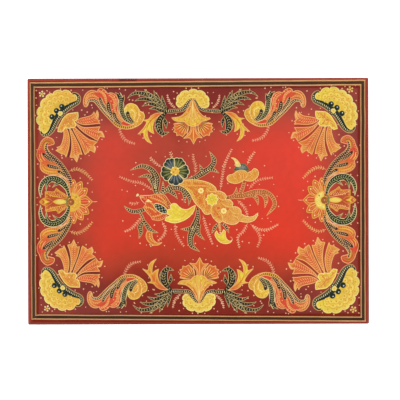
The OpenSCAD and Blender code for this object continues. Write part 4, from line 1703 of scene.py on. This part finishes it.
def fruit_blossoms(m):
    """Two round blossoms and a yellow star on the fruit."""
    p = m.paint
    for x, y, size in ((4.4, 13.6, 3.9), (35.4, -13.9, 4.0)):
        flower_head(m, x, y, size, 7, p.pale, p.golden, level=9)
    x, y = 19.4, 1.6
    star = []
    for k in range(8):
        star.append((*polar(x, y, 6.6, 45 * k - 22), TIP))
        star.append(polar(x, y, 8.6, 45 * k))
    m.fill("yellow", star, p.lemon, p.lemon, 9, reach=2, rim=p.pale)
    m.dot(x, y, 3.6, p.lemon, 11, "yellow", rise=2, sides=14)
    for k in range(8):
        m.tick(polar(x, y, 3.4, 45 * k), polar(x, y, 6.2, 45 * k), 0.8, p.amber, 11)
        m.dot(*polar(x, y, 2.2, 45 * k + 20), 0.6, p.olive if k % 2 else p.amber, 13)


def yellow_pod(m):
    """The bright yellow pod beside the red bud."""
    p = m.paint
    pod = [
        (-34, -3.6, TIP), (-29.6, -4), (-25.6, -8), (-20, -11.4), (-13.6, -11.6), (-7, -8), (-3, -6, TIP),
        (-6, -15), (-13.6, -23.4), (-24, -28.6), (-34, -30), (-44.6, -26.6, TIP), (-42.6, -22.4),
        (-37, -20.4, TIP), (-42, -16.6), (-41.4, -12.4), (-36, -10.8, TIP), (-37.4, -7),
    ]
    m.fill("yellow", pod, p.lemon, p.lemon, 6, reach=3, rim=p.pale,
           sweep=((-24, -18), (-4, -8), p.golden))
    dabs(m, pod, (p.golden, p.pale, p.lemon), level=8)
    for path, width, tint in (
        ([(-33, -8), (-26, -14.6), (-16, -16.6), (-8, -12)], 1.0, p.golden),
        ([(-38, -15), (-30, -18.6), (-20, -21), (-12, -18)], 1.0, p.golden),
        ([(-40, -25), (-31, -25.6), (-22, -24.6)], 0.9, p.pale),
        ([(-4, -7), (-12, -14), (-22, -22)], 0.9, p.amber),
    ):
        m.line(path, width, tint, 8)


def berry_bud(m):
    """The red bud, its hatched veins and its pale eye."""
    p = m.paint
    bud = [
        (-79.4, 6.6, TIP), (-68, 7.2), (-60, 8.4), (-53.4, 9.4), (-45, 7.6), (-40, 1), (-35.6, -5.6, TIP),
        (-38, -12), (-41, -18), (-46, -24), (-53, -26.6), (-62, -25.4, TIP), (-64, -21), (-70, -14.6),
        (-73.4, -9), (-71, -3),
    ]
    m.fill("orange", bud, p.orange, blend(p.vermilion, p.orange, 0.3), 5, reach=3, rim=p.peach,
           sweep=((-50, -4), (-34, -4), p.rust))
    edge_ticks(m, bud, 2.8, 2.4, 2.2, p.peach, 8)
    veins = (
        [(-78, 6), (-70, 2), (-62, -4), (-54, -12)], [(-72, -8), (-64, -10), (-56, -16)],
        [(-66, 5), (-56, 2), (-46, -3), (-40, -9)], [(-62, -22), (-54, -20), (-46, -17)],
        [(-56, 8), (-48, 3), (-42, -4)],
    )
    for vein in veins:
        m.line(vein, 0.9, p.peach, 7)
        curve = smooth(vein)
        m.fishbone(curve, np.full(len(curve), 4.6), 2.8, p.golden, 0.8, 0.5, 8, 0.8)
    m.line([(-79.4, 6.8), (-71, 7.4), (-62, 7.6)], 1.0, p.salmon, 8)
    m.line([(-79, 5.6), (-75.6, 0), (-71, -4.6)], 1.0, p.salmon, 8)
    m.fill("orange", [(-77, 5), (-66, 6), (-68, 0), (-72, -2)], p.red, p.red, 7, reach=2)
    m.fill("yellow", [(-67.6, 2.6, TIP), (-61.6, -1.6, TIP), (-71.4, -1.6, TIP)], p.pale, p.cream,
           8, reach=2)
    m.dot(-81.6, 8.2, 1.8, p.cream, 6)
    m.dot(-82.8, 7.0, 1.0, p.cream, 6)


def chequered_seed(m):
    """The chequered seed on the bud."""
    p = m.paint
    x, y, long_half, short_half, lean = -50.4, -10.4, 10.4, 4.8, math.radians(-33)
    along, across = (math.cos(lean), math.sin(lean)), (-math.sin(lean), math.cos(lean))

    def on_seed(a, b):
        return x + a * along[0] + b * across[0], y + a * along[1] + b * across[1]

    seed = [on_seed(long_half * math.cos(t * math.pi / 8), short_half * math.sin(t * math.pi / 8))
            for t in range(16)]
    m.fill("dark", seed, p.night, p.night, 9, rim=p.pale)
    for k in range(-3, 4):
        for row in (-1, 0, 1):
            a, b = k * 2.6, row * 2.6
            if (k + row) % 2 and (a / long_half) ** 2 + (b / short_half) ** 2 < 1:
                m.tick(on_seed(a, b - 1.3), on_seed(a, b + 1.3), 2.4, blend(p.slate, p.cream, 0.35), 11)


def parasol_flower(m):
    """The orange parasol with a grey dome and a yellow horn."""
    p = m.paint
    dome = arc((59.6, 41), 9.6, 0, 180, 10)
    m.fill("dark", dome, blend(p.night, p.olive, 0.3), p.slate, 5, reach=3.5, rim=p.olive, rim_width=0.8)
    for turn in (50, 75, 100, 125):
        m.tick(polar(59.6, 41, 3, turn), polar(59.6, 41, 8.4, turn), 0.9, blend(p.slate, p.cream, 0.3), 7)
    horn = [
        (45.4, 58.4, TIP), (51, 57.4), (56, 52.6), (58.6, 47.4, TIP), (55.6, 46.4), (52, 46.8, TIP),
        (51.4, 51), (49.6, 55.6),
    ]
    m.fill("yellow", horn, p.golden, p.pale, 8, reach=2, rim=p.pale, rim_width=0.7)
    cap = [
        (58.6, 41.6), (54, 40.4, TIP), (50.6, 38), (47, 35.4, TIP), (42.6, 34.8), (39.8, 31), (41.4, 26.6),
        (46, 24.2), (53, 23.4), (60, 26), (63, 28.6, TIP), (66.6, 27), (74, 26.8), (80.4, 31), (83, 37),
        (80.6, 42.4), (76.4, 43.4), (73.6, 40.4, TIP), (70.4, 38.8), (67.6, 37.4, TIP), (64.6, 40.4),
    ]
    m.fill("orange", cap, blend(p.golden, p.orange, 0.35), blend(p.golden, p.orange, 0.5), 7, reach=4,
           rim=p.pale, rim_width=0.7)
    dabs(m, cap, (p.peach, p.golden, p.orange), gap=2.6, size=1.7, level=9)
    edge_ticks(m, cap, 2.4, 2.2, 1.8, p.peach, 9)
    for path in ([(54, 40), (57.6, 35), (59, 29)], [(67.6, 37.4), (67, 33), (64, 29)],
                 [(61, 39), (62.6, 34), (62, 30)],
                 [(47, 35.4), (50.4, 31), (54.6, 28)], [(75, 41), (73.4, 36), (69.4, 31.6)]):
        m.line(path, 2.2, p.orange, 8, pigment="orange")
        m.line(path, 0.8, blend(p.pale, p.golden, 0.4), level=9)
    for x, y in ((50, 29), (58, 33), (70, 34), (76, 35), (46, 30), (63, 36)):
        curl(m, x, y, 1.8, start=x * 29, tint=p.golden, level=9, width=0.7)


def small_cups(m):
    """The yellow cup that hangs on its stalk and the orange horn of the lower leaves."""
    p = m.paint
    cup = [
        (25.6, -40.8, TIP), (27.4, -44.4), (30.6, -46.4), (33.2, -43.4), (34.8, -39.4, TIP), (37.4, -41.6),
        (37.4, -47), (39.4, -52.4), (43.6, -55), (47, -53.4, TIP), (44.4, -56.8), (38, -58.6), (30.4, -56.4),
        (25.6, -51.6), (23.2, -45.6),
    ]
    m.fill("yellow", cup, p.golden, p.lemon, 4, reach=2.5, rim=p.pale, rim_width=0.8)
    m.line([(43.6, -55.6), (46.6, -54), (46.2, -50.4), (43.8, -49.2)], 0.8, p.salmon, 5)
    m.line([(27, -50), (31, -53.6), (37, -54.6)], 0.9, p.amber, 6)
    m.dot(30.8, -43.6, 1.5, p.salmon, 5)
    horn = [
        (-68.6, -40.6, TIP), (-70.6, -47), (-68.4, -54), (-61.4, -59.8), (-54, -60), (-48.6, -56.6, TIP),
        (-55.4, -57), (-60.6, -52.4), (-62.4, -46), (-61.6, -42.6, TIP), (-65, -41.8),
    ]
    m.fill("orange", horn, p.amber, p.orange, 4, reach=2.2, rim=p.peach, rim_width=0.8)
    m.line([(-66, -44), (-65.6, -51), (-59.6, -57)], 1.2, p.amber, 6)
    for k in range(6):
        m.dot(*polar(-54.6, -46.0, 11.0, 178 + 14 * k), 0.6, p.pale, 6)


def bouquet_sprigs(m):
    """The feathery twigs and the dots round the bouquet."""
    p = m.paint
    sprigs = (
        [(-60, 13.6), (-76, 24), (-90, 26.6), (-106, 33)], [(-49, 46), (-57, 51), (-64.6, 59.4)],
        [(-34.6, 57), (-35.4, 61), (-37, 66)], [(-3.4, 37), (-2.6, 47), (-5.6, 56), (-6, 63.6)],
        [(31, 15), (33.4, 32), (37, 50), (46.4, 70)], [(67.6, 49), (71, 57), (77.6, 66)],
        [(70, 16), (79, 26), (89, 29.6), (102, 31)], [(54, 0.6), (61.6, -7), (66, -14), (67.6, -22)],
        [(71.6, -32), (83, -39), (95.6, -39.6), (110, -32)], [(74, -34), (82, -43), (85, -52), (81, -63)],
        [(67.6, -31), (62, -42), (54.4, -50), (56.8, -65)], [(7, -20), (11, -35), (16, -49), (20.4, -60)],
        [(-31, -31), (-29.6, -44), (-24.6, -54), (-18.8, -62)],
        [(-48.6, -28), (-44, -40), (-48, -49), (-55, -55)],
        [(-76.4, -22), (-84, -31), (-91, -38), (-100.4, -42)], [(-79.6, -2), (-87, -4), (-93.4, -2.4)],
    )
    for k, sprig in enumerate(sprigs):
        m.sprig(sprig, p.salmon if k % 3 else p.rose, length=3.3, width=0.9)
    m.dots([(-64, -61.6), (-61.4, -60.4), (-65.2, -59.6)], tint=p.cream, level=2)
    m.dots((
        (-103, 15), (-96, 13), (-102, -27), (-92, -47.6), (-88, 36), (-69, 47.4),
        (-84.6, 21), (-64.6, -35.6), (-59, -33), (-43.6, -34.6), (-55, -48), (-78.6, -57.6), (-45.4, -61),
        (-32, -66), (-28.6, -35.6), (-19.6, -49.6), (-15.4, -24), (-13.6, -60.4), (-3.4, -58), (12, -40),
        (16.4, -32), (26.4, -61.6), (42.6, -36.6), (53, -39.6), (60.6, -55.6), (69.6, -57.4), (87.6, -24.6),
        (95.4, -24), (89.6, -47), (99.6, -28.6), (110, -8), (108, 5.6), (103.6, 22), (91, 47.4), (73, 60.4),
        (62, 66.4), (44, 44.6), (34, 47), (21.6, 32.6), (11.6, 60.4), (-12, 61), (-21.4, 66), (-44, 60),
        (-56.6, 66.6), (-66.4, 40.6), (-73.6, 15.4), (41, 23.4), (50.6, 48.6), (78.6, 5.6), (71.4, -6.4),
        (63, 2.6), (60.4, -6), (-16.6, -2), (-8.4, 33), (-25.4, 10), (-21, 1.6), (-64, 55), (-84, 52),
        (84, 22), (57.6, 16), (-7, -17.6), (-36, -38.8), (-70, -60), (9.4, -65), (68, 21), (93.6, -2),
    ), level=2)


# ---- operators -----------------------------------------------------------

class TRAY_OT_metal(bpy.types.Operator):
    """Give the steel pan, its rim wire and the soldered corners their finishes."""

    bl_idname = "tray.metal"
    bl_label = "Metal"

    def execute(self, context):
        finishes = {"tray_pan": back_finish(), "rim_wire": wire_finish()}
        solder = solder_finish()
        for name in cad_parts:
            if name.startswith("corner_seam"):
                finishes[name] = solder
        for name, finish in finishes.items():
            for material_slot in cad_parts[name].material_slots:
                material_slot.material = finish
        return {"FINISHED"}


class TRAY_OT_ground(bpy.types.Operator):
    """Lay the red lacquer over the floor, the walls and the rolled rim."""

    bl_idname = "tray.ground"
    bl_label = "Lacquer"

    def execute(self, context):
        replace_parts(lay_ground(), "ground_coat")
        return {"FINISHED"}


class TRAY_OT_border(bpy.types.Operator):
    """Rule the dark band and the two gold lines."""

    bl_idname = "tray.border"
    bl_label = "Border"

    def execute(self, context):
        ruled = context.scene.tray_border
        colours = ground_colours()
        gap = ruled.line_gap
        rule_strip("ruled_band", "band", "border_black", gap / 2, gap - ruled.line_width * 0.5, colours.band,
                   BAND_SIDE_LIGHTING, 0.5, 11.0, "border_band")
        for side, middle, seed in (("outer", 0, 12.0), ("inner", gap, 13.0)):
            rule_strip(f"ruled_{side}_line", "ruling", "gold_paint", middle, ruled.line_width,
                       colours.gold_line, LINE_SIDE_LIGHTING, 1.5, seed, f"{side}_gold_line")
        return {"FINISHED"}


CORNERS = (  # name, mirror, then how far a hand has moved, sized and turned the motif there
    ("back_left", (1, 1), (0, 0), 1.0, 0),
    ("back_right", (-1, 1), (-2, 3), 1.01, 4.6),
    ("front_left", (1, -1), (3, 1), 0.965, 5.5),
    ("front_right", (-1, -1), (-1, -1), 1.055, -0.9),
)
SCROLLS = (
    ("back_left", (1, 1), (0, 0), 1.0, 0),
    ("back_right", (-1, 1), (-8, 1), 0.987, -3.8),
    ("front_left", (1, -1), (4, 1), 0.957, -6.4),
    ("front_right", (-1, -1), (-3, 0), 1.0, 0),
)
PLUMES = (
    ("back_left", (1, 1), (0, 0), 1.0, 0),
    ("back_right", (-1, 1), (-10.4, 1.1), 0.96, 2.6),
    ("front_left", (1, -1), (6.3, -1.3), 1.0, 0.9),
    ("front_right", (-1, -1), (-6, -2), 1.0, 0),
)
CORNER_AT, SCROLL_AT, PLUME_AT = (190.6, 122.3), (116, 124), (58, 119)
PALMETTES = (("back", (1, 1), (-6, 119)), ("front", (1, -1), (1.8, -119)))
SIDES = (("left", (1, 1), (-171, 0)), ("right", (-1, 1), (171, 1.4)))


BOUQUET = (
    bouquet_sprigs, dark_leaves, slate_flower, parasol_flower, small_cups, yellow_pod, berry_bud,
    chequered_seed, fruit_body, fruit_blossoms,
)


def paint(parts, name, *place, **how):
    """Paints one motif from its parts."""
    motif = Motif(name, *place, **how)
    for part in parts:
        part(motif)
    motif.finish()


def paint_four(kind, places, at, part):
    """Paints a motif towards the four corners of the tray, each as the hand left it there."""
    for name, mirror, shift, size, turn in places:
        middle = (-mirror[0] * at[0] + shift[0], mirror[1] * at[1] + shift[1])
        paint([part], f"{kind}_{name}", middle, mirror, turn, size)


class TRAY_OT_corners(bpy.types.Operator):
    """Paint the shell and the ribbed petals in each corner."""

    bl_idname = "tray.corners"
    bl_label = "Corner flowers"

    def execute(self, context):
        paint_four("corner", CORNERS, CORNER_AT, corner_flower)
        return {"FINISHED"}


class TRAY_OT_scrolls(bpy.types.Operator):
    """Paint the four red scrolls with their yellow buds."""

    bl_idname = "tray.scrolls"
    bl_label = "Scrolls"

    def execute(self, context):
        paint_four("scroll", SCROLLS, SCROLL_AT, scroll_leaf)
        return {"FINISHED"}


class TRAY_OT_plumes(bpy.types.Operator):
    """Paint the four dark feathered leaves with their yellow tridents."""

    bl_idname = "tray.plumes"
    bl_label = "Plumes"

    def execute(self, context):
        paint_four("plume", PLUMES, PLUME_AT, plume)
        return {"FINISHED"}


class TRAY_OT_palmettes(bpy.types.Operator):
    """Paint the yellow palmettes in the middle of the back and the front."""

    bl_idname = "tray.palmettes"
    bl_label = "Palmettes"

    def execute(self, context):
        for name, mirror, at in PALMETTES:
            paint([palmette], f"palmette_{name}", at, mirror, level=3)
        return {"FINISHED"}


class TRAY_OT_sides(bpy.types.Operator):
    """Paint the lotus, half sunflower and long scrolls of the left and right sides."""

    bl_idname = "tray.sides"
    bl_label = "Side sprays"

    def execute(self, context):
        for name, mirror, at in SIDES:
            paint([side_spray], f"side_{name}", at, mirror)
        return {"FINISHED"}


class TRAY_OT_bouquet(bpy.types.Operator):
    """Paint the bouquet in the middle of the tray."""

    bl_idname = "tray.bouquet"
    bl_label = "Bouquet"

    def execute(self, context):
        paint(BOUQUET, "bouquet")
        return {"FINISHED"}


class TrayStage(bpy.types.PropertyGroup):
    """The camera, the lights and the floor."""

    lens: FloatProperty(name="Lens", description="Focal length", default=85, min=20, max=200, unit="CAMERA")
    view_width: length("View width", "Width seen at the rim, in millimetres", 538.8, 100, 2000)
    view_x: FloatProperty(name="View x", description="Middle of the view, in millimetres", default=2.4)
    view_y: FloatProperty(name="View y", description="Middle of the view, in millimetres", default=1.6)
    roll: FloatProperty(name="Roll", description="Turn of the camera", default=math.radians(-0.17),
                        subtype="ANGLE")
    light: length("Light", "Power of each soft light, in watts", 8.9, 1, 500)
    world: length("World", "Brightness all round", 0.1, 0, 2)


class TRAY_OT_stage(bpy.types.Operator):
    """Set up the pale floor, the soft lights and the camera straight above."""

    bl_idname = "tray.stage"
    bl_label = "Stage"

    def execute(self, context):
        settings = context.scene.tray_stage
        self.floor()
        self.world(settings.world)
        self.lights(settings.light)
        self.camera(settings)
        context.scene.view_settings.view_transform = "Standard"
        context.scene.view_settings.look = "None"
        return {"FINISHED"}

    def floor(self):
        mesh = bpy.data.meshes.new("studio_floor")
        radius, count, drop = 6.0, 64, -0.0002
        rim = [
            (radius * math.cos(2 * math.pi * k / count), radius * math.sin(2 * math.pi * k / count), drop)
            for k in range(count)
        ]
        mesh.from_pydata(rim, [], [list(range(count))])
        recipe = Recipe("pale_floor", Roughness=0.9, Specular_IOR_Level=0.1, Emission_Strength=0.8)
        recipe.shader.inputs["Emission Color"].default_value = (1, 1, 1, 1)
        cloud = recipe.grain(3, 2)
        recipe.feed(Base_Color=recipe.mix(cloud, (0.9, 0.9, 0.9, 1), (0.93, 0.93, 0.93, 1)))
        mesh.materials.append(recipe.material)
        floor = bpy.data.objects.new("studio_floor", mesh)
        bpy.context.scene.collection.objects.link(floor)

    def world(self, strength):
        world = bpy.data.worlds.new("studio")
        world.use_nodes = True
        background = world.node_tree.nodes["Background"]
        background.inputs["Color"].default_value = (1, 1, 1, 1)
        background.inputs["Strength"].default_value = strength
        bpy.context.scene.world = world

    def lights(self, power):
        distance, lift, size = 1.5, math.radians(50), 1.5
        for k in range(4):
            turn = math.radians(45 + 90 * k)
            flat = distance * math.cos(lift)
            spot = Vector((flat * math.cos(turn), flat * math.sin(turn), distance * math.sin(lift)))
            data = bpy.data.lights.new(f"soft_light_{k}", "AREA")
            data.shape = "DISK"
            data.size = size
            data.energy = power
            lamp = bpy.data.objects.new(data.name, data)
            lamp.location = spot
            lamp.rotation_euler = (-spot).to_track_quat("-Z", "Y").to_euler()
            bpy.context.scene.collection.objects.link(lamp)

    def camera(self, settings):
        data = bpy.data.cameras.new("camera")
        data.lens = settings.lens
        above = settings.view_width * settings.lens / data.sensor_width + RIM_TOP
        camera = bpy.data.objects.new("camera", data)
        camera.location = Vector((settings.view_x, settings.view_y, above)) * MM
        camera.rotation_euler = (0, 0, settings.roll)
        data.clip_start, data.clip_end = 0.05, 30
        bpy.context.scene.collection.objects.link(camera)
        bpy.context.scene.camera = camera


class TRAY_PT_panel(bpy.types.Panel):
    """The steps of making the tray, in order."""

    bl_idname = "TRAY_PT_panel"
    bl_label = "Painted Tray"
    bl_space_type = "VIEW_3D"
    bl_region_type = "UI"
    bl_category = "Tray"

    def draw(self, context):
        scene = context.scene
        for step in STEPS:
            self.layout.operator(step.bl_idname)
        for group in (scene.tray_ground, scene.tray_paints, scene.tray_sizes, scene.tray_border,
                      scene.tray_stage):
            box = self.layout.box()
            for name in group.__annotations__:
                box.prop(group, name)


STEPS = (
    TRAY_OT_metal, TRAY_OT_ground, TRAY_OT_border, TRAY_OT_corners, TRAY_OT_scrolls, TRAY_OT_plumes,
    TRAY_OT_palmettes, TRAY_OT_sides, TRAY_OT_bouquet, TRAY_OT_stage,
)
GROUPS = {
    "tray_ground": TrayGroundColours,
    "tray_paints": TrayPaintColours,
    "tray_sizes": TrayPaintSizes,
    "tray_border": TrayBorder,
    "tray_stage": TrayStage,
}


def register():
    for group in GROUPS.values():
        bpy.utils.register_class(group)
    for step in STEPS:
        bpy.utils.register_class(step)
    bpy.utils.register_class(TRAY_PT_panel)
    for name, group in GROUPS.items():
        setattr(bpy.types.Scene, name, PointerProperty(type=group))


def unregister():
    for name in GROUPS:
        delattr(bpy.types.Scene, name)
    bpy.utils.unregister_class(TRAY_PT_panel)
    for step in reversed(STEPS):
        bpy.utils.unregister_class(step)
    for group in reversed(list(GROUPS.values())):
        bpy.utils.unregister_class(group)


def main():
    register()
    for step in STEPS:
        family, name = step.bl_idname.split(".")
        getattr(getattr(bpy.ops, family), name)()


if __name__ == "__main__":
    main()
